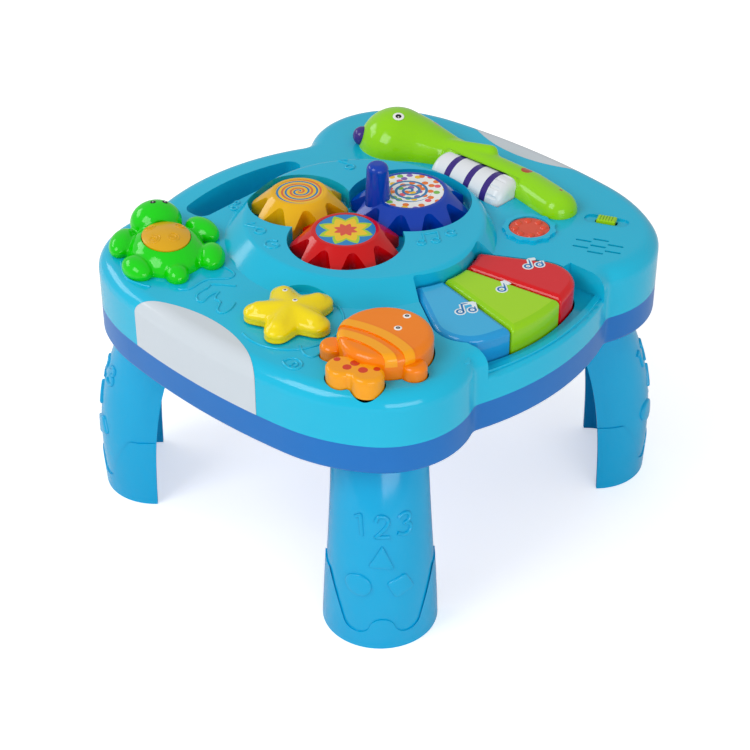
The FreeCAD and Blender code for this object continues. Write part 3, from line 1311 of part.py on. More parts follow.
def batteries():
    cells = []
    start = BATTERY_CENTRE.x - CELL_LENGTH / 2.0
    for index in range(CELL_COUNT):
        y = BATTERY_CENTRE.y + (index - (CELL_COUNT - 1) / 2.0) * CELL_PITCH
        can = Part.makeCylinder(CELL_RADIUS, CELL_LENGTH - 1.5, V(start, y, Z_CELL), V(1, 0, 0))
        nub = Part.makeCylinder(CELL_RADIUS * 0.38, 1.5, V(start + CELL_LENGTH - 1.5, y, Z_CELL), V(1, 0, 0))
        cells.append(can.fuse(nub).removeSplitter())
    return Part.makeCompound(cells)


def battery_contacts():
    """Flat strips at the ends of the bay, touching cells and wall."""
    x0, x1, y0, y1 = battery_box_size(0.0)
    strips = []
    for wall_x, cell_x in ((x0, BATTERY_CENTRE.x - CELL_LENGTH / 2.0), (x1, BATTERY_CENTRE.x + CELL_LENGTH / 2.0)):
        for index in range(CELL_COUNT):
            y = BATTERY_CENTRE.y + (index - (CELL_COUNT - 1) / 2.0) * CELL_PITCH
            low, high = sorted((wall_x, cell_x))
            sign = 1 if cell_x > wall_x else -1
            plate = Part.makeBox(CONTACT_THICKNESS, 10.0, 11.0,
                                 V(low if sign > 0 else high - CONTACT_THICKNESS, y - 5.0, Z_CELL - 5.5))
            spring = Part.makeCylinder(2.4, high - low, V(low, y, Z_CELL), V(1, 0, 0))
            strips.append(fused([plate, spring]))
    return Part.makeCompound(strips)


os.makedirs("parts", exist_ok=True)
legs = {node: leg(*place) for node, place in LEG_PLACES.items()}
back_leg_reach = legs["leg_rear_left"].optimalBoundingBox(False).YMax
FRAME_SHIFT = (FRONT_REACH - back_leg_reach) / 2.0
print("frame shift", round(FRAME_SHIFT, 4))

save("top_shell", top_shell())
save("bottom_shell", bottom_shell())
for node, shape in legs.items():
    save(node, shape)
save("side_panel_left", side_panel(-1))
save("side_panel_right", side_panel(1))

for colour in GEARS:
    wheel = gear(colour)
    if colour == "blue":
        seat = cylinder(KNOB_BASE_RADIUS + PILOT_CLEARANCE, KNOB_SEAT_DEPTH + 1, knob_centre(),
                        Z_GEAR_TOP - KNOB_SEAT_DEPTH)
        wheel = wheel.cut(seat)
    save(colour + "_gear", wheel)
    save(colour + "_label", gear_label(colour))
    save(colour + "_spindle", spindle(GEARS[colour][0], Z_PAN, Z_GEAR, GEAR_HEIGHT - GEAR_CAP))
save("crank_knob", crank_knob())

save("starfish", starfish())
save("starfish_spindle", spindle(STAR_CENTRE, Z_DECK, Z_DECK + STAR_LIFT, STAR_BORE_DEPTH))
save("fish_body", fish_body())
save("fish_tail", fish_tail())
save("turtle_body", turtle_body())
save("turtle_drum_plate", turtle_drum_plate())
save("dino_body", dino_body())
save("dino_snout", dino_snout())
save("belly_roller", belly_roller())
save("roller_axle", roller_axle())

for index, note in enumerate(("do", "re", "mi")):
    save("key_" + note, piano_key(index))
    save("dome_" + note, dome(V(KEY_STEM_X[index], KEY_STEM_Y, 0)))
save("key_hinge_pin", key_pin())
save("dome_fish", dome(FISH_CENTRE))
save("dome_drum", dome(TURTLE_CENTRE))

save("crab_lens", crab_lens())
save("crab_lamp", crab_lamp())
save("power_switch_slider", power_switch_slider())
save("slide_switch", slide_switch())
save("speaker", speaker())
save("circuit_board", circuit_board())
save("drum_board", drum_board())

save("battery_door", battery_door())
save("battery_door_screw", screw(door_screw_place(), Z_BODY + SCREW_HEAD_HEIGHT / 2.0, DOOR_SCREW_LENGTH))
save("batteries", batteries())
save("battery_contacts", battery_contacts())
save("housing_screws", Part.makeCompound([screw(place, Z_BODY + SCREW_COUNTERBORE, SCREW_LENGTH)
                                          for place in SHELL_SCREWS]))
save("board_screws", Part.makeCompound([screw(place, Z_BOARD_TOP, -BOARD_SCREW_LENGTH)
                                        for place in list(BOARD_POSTS) + drum_posts()]))
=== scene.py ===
import math

import bmesh
import bpy
from mathutils import Matrix, Vector
from mathutils.bvhtree import BVHTree


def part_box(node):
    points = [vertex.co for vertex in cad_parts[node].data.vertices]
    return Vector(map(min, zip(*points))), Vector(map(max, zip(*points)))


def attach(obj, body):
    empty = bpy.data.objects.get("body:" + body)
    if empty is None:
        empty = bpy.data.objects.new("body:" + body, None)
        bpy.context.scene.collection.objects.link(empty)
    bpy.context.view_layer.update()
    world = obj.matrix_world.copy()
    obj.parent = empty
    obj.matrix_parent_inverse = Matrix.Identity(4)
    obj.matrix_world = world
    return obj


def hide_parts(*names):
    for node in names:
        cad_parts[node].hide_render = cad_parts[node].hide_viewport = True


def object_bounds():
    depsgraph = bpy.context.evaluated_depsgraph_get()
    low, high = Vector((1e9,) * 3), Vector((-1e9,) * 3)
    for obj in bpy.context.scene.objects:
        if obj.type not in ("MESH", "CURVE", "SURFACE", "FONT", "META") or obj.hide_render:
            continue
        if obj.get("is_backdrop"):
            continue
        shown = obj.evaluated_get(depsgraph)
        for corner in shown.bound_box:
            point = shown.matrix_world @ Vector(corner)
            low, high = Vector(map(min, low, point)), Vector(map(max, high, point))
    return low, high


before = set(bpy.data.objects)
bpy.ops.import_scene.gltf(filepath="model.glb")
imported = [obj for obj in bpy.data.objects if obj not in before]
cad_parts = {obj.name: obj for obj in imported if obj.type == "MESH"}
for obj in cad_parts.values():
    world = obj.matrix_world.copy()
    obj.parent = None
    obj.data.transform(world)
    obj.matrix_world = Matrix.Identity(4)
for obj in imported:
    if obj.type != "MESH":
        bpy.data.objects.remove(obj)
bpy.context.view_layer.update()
scene = bpy.context.scene
scene.view_settings.view_transform = "Standard"

# Camera
# The photograph was taken from the front left and above. Its lens and place were worked out
# from the deck's outline and the gears, in a frame of 750 by 750 pixels.
AZIMUTH = math.radians(-47.043)
ELEVATION = math.radians(35.139)
LENS = 91.893
SENSOR = 36.0
FRAME_PIXELS = 750.0
away = Vector((math.sin(AZIMUTH) * math.cos(ELEVATION), -math.cos(AZIMUTH) * math.cos(ELEVATION),
               math.sin(ELEVATION)))
camera_data = bpy.data.cameras.new("camera")
camera_data.lens = LENS
camera_data.sensor_width = SENSOR
camera = bpy.data.objects.new("camera", camera_data)
camera.location = (-0.8177, -0.75504, 0.8656)
camera.rotation_mode = "QUATERNION"
camera.rotation_quaternion = (-away).to_track_quat("-Z", "Y")
scene.collection.objects.link(camera)
scene.camera = camera


# Studio
# A white sweep with three soft boxes, and a pale world that fills the shadows. The floor is a
# matt white board that keeps a faint shadow under the table.
def linear(code):
    """Linear colour of an sRGB hex code."""
    parts = [int(code[i:i + 2], 16) / 255.0 for i in (0, 2, 4)]
    return [p / 12.92 if p <= 0.04045 else ((p + 0.055) / 1.055) ** 2.4 for p in parts] + [1.0]


def add(tree, kind, inputs=None, **settings):
    """One node with its settings; an input takes a value or another node's output."""
    made = tree.nodes.new(kind)
    for name, value in settings.items():
        setattr(made, name, value)
    for name, value in (inputs or {}).items():
        if isinstance(value, bpy.types.NodeSocket):
            tree.links.new(value, made.inputs[name])
        else:
            made.inputs[name].default_value = value
    return made


def soft_box(name, place, target, size, power):
    """Square-cornered area lamp that faces the table."""
    data = bpy.data.lights.new(name, "AREA")
    data.shape = "RECTANGLE"
    data.size, data.size_y = size
    data.energy = power
    lamp = bpy.data.objects.new(name, data)
    lamp.location = place
    lamp.rotation_mode = "QUATERNION"
    lamp.rotation_quaternion = (Vector(target) - Vector(place)).to_track_quat("-Z", "Y")
    scene.collection.objects.link(lamp)


middle = (0.0, 0.0, 0.15)
soft_box("key_box", (-1.2, 0.2, 1.25), middle, (0.8, 0.8), 8.5)
soft_box("fill_box", (-0.7, -1.5, 0.55), middle, (1.1, 0.6), 7.0)
soft_box("back_box", (-0.5, 1.6, 1.0), middle, (1.0, 0.5), 5.0)

WORLD_FILL = 0.55
world = bpy.data.worlds.new("studio")
scene.world = world
world.use_nodes = True
sky = world.node_tree
sky.nodes.clear()
kind_of_ray = add(sky, "ShaderNodeLightPath")
seen = add(sky, "ShaderNodeMath", {0: kind_of_ray.outputs["Is Camera Ray"],
                                   1: kind_of_ray.outputs["Is Transmission Ray"]}, operation="MAXIMUM")
level = add(sky, "ShaderNodeMapRange", {"Value": seen.outputs[0], "To Min": WORLD_FILL, "To Max": 1.0})
backing = add(sky, "ShaderNodeBackground", {"Color": (1.0, 1.0, 1.0, 1.0), "Strength": level.outputs[0]})
add(sky, "ShaderNodeOutputWorld", {"Surface": backing.outputs[0]})

BOARD_LIFT = 0.5
board = bpy.data.materials.new("white_sweep_board")
board.use_nodes = True
sweep = board.node_tree
sweep.nodes.clear()
path = add(sweep, "ShaderNodeLightPath")
paint = add(sweep, "ShaderNodeBsdfDiffuse", {"Color": linear("f4f5f6")})
lift = add(sweep, "ShaderNodeMath", {0: path.outputs["Is Camera Ray"], 1: BOARD_LIFT}, operation="MULTIPLY")
glow = add(sweep, "ShaderNodeEmission", {"Color": (1.0, 1.0, 1.0, 1.0), "Strength": lift.outputs[0]})
both = add(sweep, "ShaderNodeAddShader", {0: paint.outputs[0], 1: glow.outputs[0]})
add(sweep, "ShaderNodeOutputMaterial", {"Surface": both.outputs[0]})
FLOOR_REACH = 6.0
floor_mesh = bpy.data.meshes.new("floor")
floor_mesh.from_pydata([(-FLOOR_REACH, -FLOOR_REACH, 0), (FLOOR_REACH, -FLOOR_REACH, 0),
                        (FLOOR_REACH, FLOOR_REACH, 0), (-FLOOR_REACH, FLOOR_REACH, 0)], [], [(0, 1, 2, 3)])
floor_mesh.materials.append(board)
floor = bpy.data.objects.new("floor", floor_mesh)
scene.collection.objects.link(floor)
floor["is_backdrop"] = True


# Upper shell
# The deck is one thin ABS moulding in sky cyan, out of a polished steel tool: wet gloss with the
# faint ripple of flow, and a slight change of depth where the wall is thicker.
ABS_IOR = 1.45
GRAIN_MM = 0.9
SHADE_MM = 60.0


def blended(tree, share, first, second):
    """First colour where the share is zero, second where it is one."""
    mix = add(tree, "ShaderNodeMix", data_type="RGBA")
    for index, value in ((0, share), (6, first), (7, second)):
        if isinstance(value, bpy.types.NodeSocket):
            tree.links.new(value, mix.inputs[index])
        else:
            mix.inputs[index].default_value = value
    return mix.outputs[2]


def glossy_abs(name, colour, roughness=0.11, shade="", paint=None, ripple_mm=9.0, ripple=0.05):
    """Polished ABS. The ripple is slow flow waviness, and the fine grain breaks up the gloss a little."""
    material = bpy.data.materials.new(name)
    material.use_nodes = True
    tree = material.node_tree
    tree.nodes.clear()
    place = add(tree, "ShaderNodeTexCoord").outputs["Object"]
    slow = add(tree, "ShaderNodeTexNoise", {"Vector": place, "Scale": 1000.0 / ripple_mm, "Detail": 1.0})
    grain = add(tree, "ShaderNodeTexNoise", {"Vector": place, "Scale": 1000.0 / GRAIN_MM, "Detail": 2.0})
    depth = add(tree, "ShaderNodeTexNoise", {"Vector": place, "Scale": 1000.0 / SHADE_MM, "Detail": 2.0})
    coat = blended(tree, depth.outputs["Fac"], linear(colour), linear(shade or colour))
    if paint:
        coat = paint(tree, place, coat)
    gloss = add(tree, "ShaderNodeMapRange", {"Value": grain.outputs["Fac"], "To Min": roughness - 0.03,
                                             "To Max": roughness + 0.05})
    wave = add(tree, "ShaderNodeBump", {"Strength": ripple, "Distance": 0.0006,
                                        "Height": slow.outputs["Fac"]})
    skin = add(tree, "ShaderNodeBump", {"Strength": 0.04, "Distance": 0.0001,
                                        "Height": grain.outputs["Fac"], "Normal": wave.outputs[0]})
    body = add(tree, "ShaderNodeBsdfPrincipled", {"Base Color": coat, "Roughness": gloss.outputs[0],
                                                  "IOR": ABS_IOR, "Normal": skin.outputs[0]})
    add(tree, "ShaderNodeOutputMaterial", {"Surface": body.outputs[0]})
    return material


def dress(node, material):
    """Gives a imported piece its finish."""
    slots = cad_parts[node].data.materials
    slots.clear()
    slots.append(material)


DECK_TOP = 0.198
deck_cyan = glossy_abs("sky_cyan_abs", "14bfe2", shade="08b6dc")
dress("top_shell", deck_cyan)

skins = {}


def surface_of(name):
    """Search tree over one piece, for setting small things on its surface."""
    if name not in skins:
        mesh = bpy.data.objects[name].data
        skins[name] = BVHTree.FromPolygons([v.co for v in mesh.vertices], [p.vertices for p in mesh.polygons])
    return skins[name]


def ray_through(across, down):
    """Direction from the camera through a pixel of the photograph."""
    half = FRAME_PIXELS / 2.0
    ray = camera.rotation_quaternion @ Vector((across - half, half - down, -LENS / SENSOR * FRAME_PIXELS))
    return ray.normalized()


def seen_at(name, across, down):
    """Point and outward direction where a pixel of the photograph meets a piece, or passes nearest."""
    ray = ray_through(across, down)
    point, outward, _, _ = surface_of(name).ray_cast(camera.location, ray)
    if point is None:
        steps = [camera.location + ray * (1.0 + 0.004 * k) for k in range(180)]
        near = min((surface_of(name).find_nearest(step) for step in steps), key=lambda found: found[3])
        point, outward = near[0], near[1]
    return point, outward


def flat_line(pixels):
    """Deck points under a line of pixels, on the level of the deck's top."""
    points = []
    for across, down in pixels:
        ray = ray_through(across, down)
        points.append(camera.location + ray * ((DECK_TOP - camera.location.z) / ray.z))
    return points


def faced_outwards(mesh):
    """Turns every face of a closed mesh outwards."""
    shape = bmesh.new()
    shape.from_mesh(mesh)
    bmesh.ops.recalc_face_normals(shape, faces=shape.faces)
    shape.to_mesh(mesh)
    shape.free()


def piece(name, mesh, material, body):
    """Finishes a new mesh as a piece that rides on a body."""
    mesh.materials.clear()
    mesh.materials.append(material)
    for face in mesh.polygons:
        face.use_smooth = True
    made = bpy.data.objects.new(name, mesh)
    scene.collection.objects.link(made)
    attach(made, body)
    return made


def round_bar_tree():
    """Geometry Nodes: a round bar swept along every curve, with filled ends."""
    tree = bpy.data.node_groups.new("round_bar", "GeometryNodeTree")
    tree.interface.new_socket("Geometry", in_out="INPUT", socket_type="NodeSocketGeometry")
    thick = tree.interface.new_socket("Bar radius", in_out="INPUT", socket_type="NodeSocketFloat")
    finish = tree.interface.new_socket("Finish", in_out="INPUT", socket_type="NodeSocketMaterial")
    tree.interface.new_socket("Geometry", in_out="OUTPUT", socket_type="NodeSocketGeometry")
    source = add(tree, "NodeGroupInput")
    ring = add(tree, "GeometryNodeCurvePrimitiveCircle", {"Resolution": 10,
                                                          "Radius": source.outputs["Bar radius"]})
    bar = add(tree, "GeometryNodeCurveToMesh", {"Curve": source.outputs["Geometry"],
                                                "Profile Curve": ring.outputs["Curve"], "Fill Caps": True})
    plain = add(tree, "GeometryNodeRealizeInstances", {"Geometry": bar.outputs[0]})
    painted = add(tree, "GeometryNodeSetMaterial", {"Geometry": plain.outputs[0],
                                                    "Material": source.outputs["Finish"]})
    add(tree, "NodeGroupOutput", {"Geometry": painted.outputs[0]})
    return tree, thick.identifier, finish.identifier


bar_tree, bar_radius_input, bar_finish_input = round_bar_tree()


def raised_lines(name, strokes, radius, material, body, flatten=None):
    """Moulded or printed lines: a round bar half sunk along each stroke of points."""
    curve = bpy.data.curves.new(name, "CURVE")
    curve.dimensions = "3D"
    for points, closed in strokes:
        line = curve.splines.new("NURBS")
        line.points.add(len(points) - 1)
        for knot, point in zip(line.points, points):
            knot.co = (*point, 1.0)
        line.order_u = min(3, len(points))
        line.use_endpoint_u = not closed
        line.use_cyclic_u = closed
        line.resolution_u = 5
    holder = bpy.data.objects.new(name + "_path", curve)
    scene.collection.objects.link(holder)
    sweep_bar = holder.modifiers.new("bar", "NODES")
    sweep_bar.node_group = bar_tree
    sweep_bar[bar_radius_input] = radius
    sweep_bar[bar_finish_input] = material
    bpy.context.view_layer.update()
    graph = bpy.context.evaluated_depsgraph_get()
    mesh = bpy.data.meshes.new_from_object(holder.evaluated_get(graph))
    bpy.data.objects.remove(holder)
    if flatten:
        level, share = flatten
        for corner in mesh.vertices:
            corner.co.z = level + (corner.co.z - level) * share
    faced_outwards(mesh)
    return piece(name, mesh, material, body)


def settled(node, points):
    """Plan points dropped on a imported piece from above."""
    found = []
    for x, y in points:
        hit = surface_of(node).ray_cast(Vector((x, y, 0.4)), Vector((0, 0, -1)))[0]
        if hit:
            found.append(hit)
    return found


def placed(shape, centre, size, turn):
    """Plan points of a small drawing in unit size, turned and moved to its centre."""
    c, s = math.cos(math.radians(turn)) * size, math.sin(math.radians(turn)) * size
    return [(centre[0] + x * c - y * s, centre[1] + x * s + y * c) for x, y in shape]


def arc_points(cx, cy, r, start, stop, count):
    """Points along an arc, angles in degrees."""
    angles = [math.radians(start + (stop - start) * k / (count - 1)) for k in range(count)]
    return [(cx + r * math.cos(a), cy + r * math.sin(a)) for a in angles]


def ring_points(cx, cy, r, count):
    """Evenly spaced points of a whole ring."""
    return arc_points(cx, cy, r, 0.0, 360.0 - 360.0 / count, count)


# Raised ornaments of the deck
# Thin ribs moulded with the shell: single and paired music notes on the hub, a ring round the
# starfish and an interlocking wave between the animals.
RIB = 0.0009
STAR_RING_GAP = 0.004
NOTE = [(ring_points(0.0, 0.0, 0.32, 10), True), ([(0.3, 0.0), (0.3, 0.6), (0.3, 1.2)], False),
        ([(0.3, 1.2), (0.55, 1.05), (0.75, 0.7)], False)]
PAIRED_NOTE = [(ring_points(-0.45, 0.0, 0.28, 10), True), (ring_points(0.55, 0.15, 0.28, 10), True),
               ([(-0.2, 0.0), (-0.2, 0.6), (-0.2, 1.05)], False),
               ([(0.8, 0.15), (0.8, 0.7), (0.8, 1.2)], False),
               ([(-0.2, 1.05), (0.3, 1.13), (0.8, 1.2)], False)]
CURL = [(arc_points(0.0, 0.0, 0.5, 0.0, 300.0, 12) + [(0.1, -0.2), (0.05, 0.1)], False)]
note_places = [(NOTE, 260, 231, 0.011, 20), (CURL, 272, 244, 0.010, 0), (NOTE, 350, 167, 0.010, 10),
               (CURL, 451, 233, 0.007, 0), (PAIRED_NOTE, 428, 242, 0.010, -40),
               (PAIRED_NOTE, 236, 206, 0.008, 30)]
ornaments = []
for drawing, across, down, size, turn in note_places:
    spot = seen_at("top_shell", across, down)[0]
    for line, closed in drawing:
        ornaments.append((settled("top_shell", placed(line, spot, size, turn)), closed))

star_low, star_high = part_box("starfish")
star_middle = (star_low + star_high) / 2.0
star_reach = (star_high.x - star_low.x) / 2.0
ring = arc_points(star_middle.x, star_middle.y, star_reach + STAR_RING_GAP, 160, 340, 26)
ornaments.append((settled("top_shell", ring), False))
wave_pixels = [[(121, 262), (123, 274), (130, 282), (150, 287)],
               [(178, 289), (187, 292), (205, 279), (219, 279), (233, 278), (235, 272), (224, 267)],
               [(236, 286), (209, 283), (210, 287), (197, 293), (196, 300), (203, 303), (210, 294),
                (219, 292)],
               [(219, 292), (212, 299), (222, 301), (216, 310), (221, 314), (231, 310), (235, 303)],
               [(300, 346), (302, 353), (311, 358), (320, 354), (322, 349)],
               [(284, 361), (291, 357), (300, 360), (303, 366), (295, 370), (285, 367), (283, 362)],
               [(290, 366), (294, 361), (299, 365), (294, 367)]]
for line in wave_pixels:
    ornaments.append((flat_line(line), False))
raised_lines("deck_ribs", ornaments, RIB, deck_cyan, "housing")


# Lower shell
# A deep blue ABS tray that closes the deck from below, a little duller because it is textured
# by spark erosion. The battery door is moulded from the same plastic.
base_blue = glossy_abs("deep_blue_tray_abs", "0474c8", roughness=0.30, shade="0068b8")
dress("bottom_shell", base_blue)
dress("battery_door", base_blue)


# Legs
# Four thin ABS channels in sea blue with a raised wavy cuff. Each carries the numbers one to
# three as moulded ribs on its outer side, and three plain shapes as low pads.
leg_blue = glossy_abs("sea_blue_abs", "00b0e2", roughness=0.15, shade="00a4d8")
ONE = [([(-0.25, 0.85), (0.0, 1.0), (0.0, 1.0), (0.03, 0.5), (0.06, 0.0)], False)]
TWO = [([(-0.3, 0.75), (-0.25, 1.0), (0.05, 1.05), (0.32, 0.85), (0.25, 0.55), (-0.05, 0.25), (-0.32, 0.0),
         (-0.32, 0.0), (0.35, 0.0)], False)]
THREE = [([(-0.28, 0.85), (-0.1, 1.05), (0.25, 1.0), (0.28, 0.65), (0.0, 0.54), (0.0, 0.54), (0.32, 0.45),
           (0.33, 0.08), (-0.05, -0.05), (-0.32, 0.15)], False)]
LEG_RIB = 0.0014
PAD_RISE = 0.0016
PAD_CORNER = 0.0025
NUMBER_LEVEL = 0.0895
NUMBER_SIZE = 0.0132
leg_numbers = [(ONE, -0.0135), (TWO, 0.0), (THREE, 0.0140)]
SQUARE_HALF = 0.0068
SQUARE_TURN = 25.0
square = [(-SQUARE_HALF, -SQUARE_HALF), (SQUARE_HALF, -SQUARE_HALF), (SQUARE_HALF, SQUARE_HALF),
          (-SQUARE_HALF, SQUARE_HALF)]
leg_pads = [("triangle", [(0.0, 0.0100), (-0.0092, -0.0062), (0.0078, -0.0078)], 0.0, 0.0745),
            ("disc", ring_points(0.0, 0.0, 0.0082, 24), -0.0150, 0.0530),
            ("square", placed(square, (0.0, 0.0), 1.0, SQUARE_TURN), 0.0115, 0.0530)]


def rounded(outline, corner, count=4):
    """Outline with each sharp corner turned into a short arc."""
    if len(outline) > 8:
        return outline
    points = []
    for index, (x, y) in enumerate(outline):
        before = Vector(outline[index - 1]) - Vector((x, y))
        after = Vector(outline[(index + 1) % len(outline)]) - Vector((x, y))
        start = Vector((x, y)) + before.normalized() * corner
        end = Vector((x, y)) + after.normalized() * corner
        for step in range(count + 1):
            t = step / count
            point = start * (1 - t) ** 2 + Vector((x, y)) * 2 * t * (1 - t) + end * t ** 2
            points.append((point.x, point.y))
    return points


def raised_pad(name, outline, on_surface):
    """Low plateau with a soft edge that follows the surface under it."""
    levels = [(0.02, 1.0), (0.3, 1.0), (0.6, 1.0), (0.88, 1.0), (0.95, 0.85), (1.0, 0.4), (1.01, -0.5)]
    mesh = bpy.data.meshes.new(name)
    points, faces = [], []
    count = len(outline)
    for share, height in levels:
        for x, y in outline:
            point, outward = on_surface(x * share, y * share)
            points.append(point + outward * PAD_RISE * height)
    for ring in range(len(levels) - 1):
        for k in range(count):
            a, b = ring * count + k, ring * count + (k + 1) % count
            faces.append((a, b, b + count, a + count))
    faces.append(tuple(range(count)))
    mesh.from_pydata(points, [], faces)
    faced_outwards(mesh)
    return piece(name, mesh, leg_blue, "housing")


for end, sign_y in (("front", -1), ("rear", 1)):
    for side, sign_x in (("left", -1), ("right", 1)):
        leg = "leg_%s_%s" % (end, side)
        dress(leg, leg_blue)
        low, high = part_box(leg)
        foot = Vector(((low.x + high.x) / 2.0, (low.y + high.y) / 2.0, 0))
        outward = Vector((sign_x, sign_y, 0)).normalized()
        sideways = Vector((-outward.y, outward.x, 0))
        ribs = []

        def on_leg(across, height):
            """Point and outward direction on the leg's outer side."""
            start = foot + outward * 0.2 + sideways * across
            start.z = height
            point, facing, _, _ = surface_of(leg).ray_cast(start, -outward)
            return point, facing

        for drawing, across in leg_numbers:
            for line, closed in drawing:
                points = [on_leg(across + x * NUMBER_SIZE, NUMBER_LEVEL + z * NUMBER_SIZE)[0]
                          for x, z in line]
                ribs.append((points, closed))
        for shape_name, outline, across, height in leg_pads:
            raised_pad(leg + "_" + shape_name, rounded(outline, PAD_CORNER),
                       lambda x, z: on_leg(across + x, height + z))
        raised_lines(leg + "_ribs", ribs, LEG_RIB, leg_blue, "housing")


# Side panels
# Two white ABS inlays let into the deck's sides, polished like the deck.
panel_white = glossy_abs("white_abs", "d2dae1", roughness=0.15, shade="cad4dc")
dress("side_panel_left", panel_white)
dress("side_panel_right", panel_white)


# Gears
# Three loose ABS gears with a conical skirt of rounded teeth. Each holds a round printed film
# label under its rim: a sunburst, a double spiral and a dotted spiral.
def calc(tree, kind, *values):
    """One sum or comparison of numbers or outputs."""
    return add(tree, "ShaderNodeMath", dict(enumerate(values)), operation=kind).outputs[0]


def about(tree, place, centre):
    """Distance from an upright axis and the angle round it, as outputs."""
    moved = add(tree, "ShaderNodeVectorMath", {0: place, 1: (-centre.x, -centre.y, 0.0)}, operation="ADD")
    split = add(tree, "ShaderNodeSeparateXYZ", {0: moved.outputs[0]})
    x, y = split.outputs[0], split.outputs[1]
    reach = calc(tree, "SQRT", calc(tree, "ADD", calc(tree, "MULTIPLY", x, x), calc(tree, "MULTIPLY", y, y)))
    return reach, calc(tree, "ARCTAN2", y, x)


def label_size(node):
    """Middle and radius of a round label."""
    low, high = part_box(node)
    return (low + high) / 2.0, (high.x - low.x) / 2.0


def sunburst_print(tree, place, coat):
    """Blue disc, lime burst of eight points, yellow burst inside it and a coral heart."""
    centre, radius = label_size("red_label")
    reach, angle = about(tree, place, centre)
    point = calc(tree, "PINGPONG", calc(tree, "MULTIPLY", angle, 8.0 / (2 * math.pi)), 0.5)
    picture = linear("1c83c4")
    for colour, base, spike in (("a9cf2c", 0.62, 0.34), ("f2c81c", 0.52, 0.26), ("e0553c", 0.26, 0.16)):
        edge = calc(tree, "MULTIPLY_ADD", point, spike * radius * 2.0, base * radius)
        inside = calc(tree, "LESS_THAN", reach, edge)
        picture = blended(tree, inside, picture, linear(colour))
    return picture


def spiral_print(tree, place, coat):
    """Yellow disc with a blue and a coral spiral, two turns each."""
    centre, radius = label_size("yellow_label")
    reach, angle = about(tree, place, centre)
    turn = calc(tree, "SUBTRACT", calc(tree, "DIVIDE", reach, radius * 0.36),
                calc(tree, "DIVIDE", angle, 2 * math.pi))
    share = calc(tree, "FRACT", turn)
    blue = calc(tree, "COMPARE", share, 0.2, 0.13)
    coral = calc(tree, "COMPARE", share, 0.62, 0.13)
    picture = blended(tree, blue, linear("f3c21a"), linear("2f7fb4"))
    return blended(tree, coral, picture, linear("dd6a3a"))


def dotted_print(tree, place, coat):
    """White disc with scattered coloured dots and a blue spiral in the middle."""
    centre, radius = label_size("blue_label")
    reach, angle = about(tree, place, centre)
    cells = add(tree, "ShaderNodeTexVoronoi", {"Vector": place, "Scale": 1000.0 / 6.2, "Randomness": 0.7},
                voronoi_dimensions="2D")
    dot = calc(tree, "LESS_THAN", cells.outputs["Distance"], 0.36)
    hue = add(tree, "ShaderNodeSeparateColor", {0: cells.outputs["Color"]}).outputs[0]
    inks = add(tree, "ShaderNodeValToRGB", {0: hue})
    ramp = inks.color_ramp
    ramp.interpolation = "CONSTANT"
    ramp.elements[0].color = linear("f07a24")
    ramp.elements[1].position = 0.4
    ramp.elements[1].color = linear("8a62b8")
    for position, ink in ((0.55, "7cc24a"), (0.7, "f0556a"), (0.85, "f4c62a")):
        stop = ramp.elements.new(position)
        stop.color = linear(ink)
    picture = blended(tree, dot, linear("f3f5f2"), inks.outputs[0])
    turn = calc(tree, "SUBTRACT", calc(tree, "DIVIDE", reach, radius * 0.21),
                calc(tree, "DIVIDE", angle, 2 * math.pi))
    line = calc(tree, "COMPARE", calc(tree, "FRACT", turn), 0.5, 0.2)
    inner = calc(tree, "LESS_THAN", reach, radius * 0.66)
    core = calc(tree, "MULTIPLY", line, inner)
    return blended(tree, core, picture, linear("2f7fb4"))


gear_finishes = {"red": glossy_abs("red_abs", "d80004", shade="c80004"),
                 "yellow": glossy_abs("golden_yellow_abs", "f2bb08", shade="eab004"),
                 "blue": glossy_abs("royal_blue_abs", "0040b8", shade="0038a8")}
gear_prints = {"red": sunburst_print, "yellow": spiral_print, "blue": dotted_print}
for colour, finish in gear_finishes.items():
    dress(colour + "_gear", finish)
    dress(colour + "_label", glossy_abs(colour + "_printed_film", "f3f5f2", roughness=0.22,
                                        paint=gear_prints[colour], ripple=0.02))
dress("crank_knob", gear_finishes["blue"])


# Spindles
# Black acetal pins that the loose toys turn on, drawn and left with a satin skin.
black_acetal = glossy_abs("black_acetal", "17181a", roughness=0.38, shade="1e2023")
for name in ("red_spindle", "yellow_spindle", "blue_spindle", "starfish_spindle", "slide_switch", "speaker"):
    dress(name, black_acetal)


# Eyes
# Printed eyes: a white round and a black pupil, each a thin dome of ink, with a painted highlight as a tiny
# white dot.
eye_white = glossy_abs("white_ink", "f4f4f0", roughness=0.25, ripple=0.0)
eye_black = glossy_abs("black_ink", "0c0c0e", roughness=0.15, ripple=0.0)


def ink_dome(name, point, outward, radius, height, material, body):
    """Thin domed drop of ink or plastic, sitting on a surface."""
    shape = bmesh.new()
    bmesh.ops.create_uvsphere(shape, u_segments=20, v_segments=10, radius=1.0)
    turn = outward.to_track_quat("Z", "Y").to_matrix().to_4x4()
    place = Matrix.Translation(point) @ turn @ Matrix.Diagonal((radius, radius, height, 1.0))
    bmesh.ops.transform(shape, matrix=place, verts=shape.verts)
    mesh = bpy.data.meshes.new(name)
    shape.to_mesh(mesh)
    shape.free()
    return piece(name, mesh, material, body)


def eye(name, node, across, down, radius, body, white=True):
    """A pupil and its painted highlight at a pixel's place on a piece, with or without the white."""
    point, outward = seen_at(node, across, down)
    if white:
        ink_dome(name + "_white", point, outward, radius, 0.0003, eye_white, body)
    pupil = radius * (0.62 if white else 1.0)
    ink_dome(name + "_pupil", point, outward, pupil, 0.0005, eye_black, body)
    # painted highlight: a small white dot moved to the side of the pupil that faces the camera
    painted_glint = point + (away - outward * away.dot(outward)).normalized() * pupil * 0.35
    ink_dome(name + "_glint", painted_glint + outward * 0.0002, outward, pupil * 0.25, 0.0005, eye_white, body)


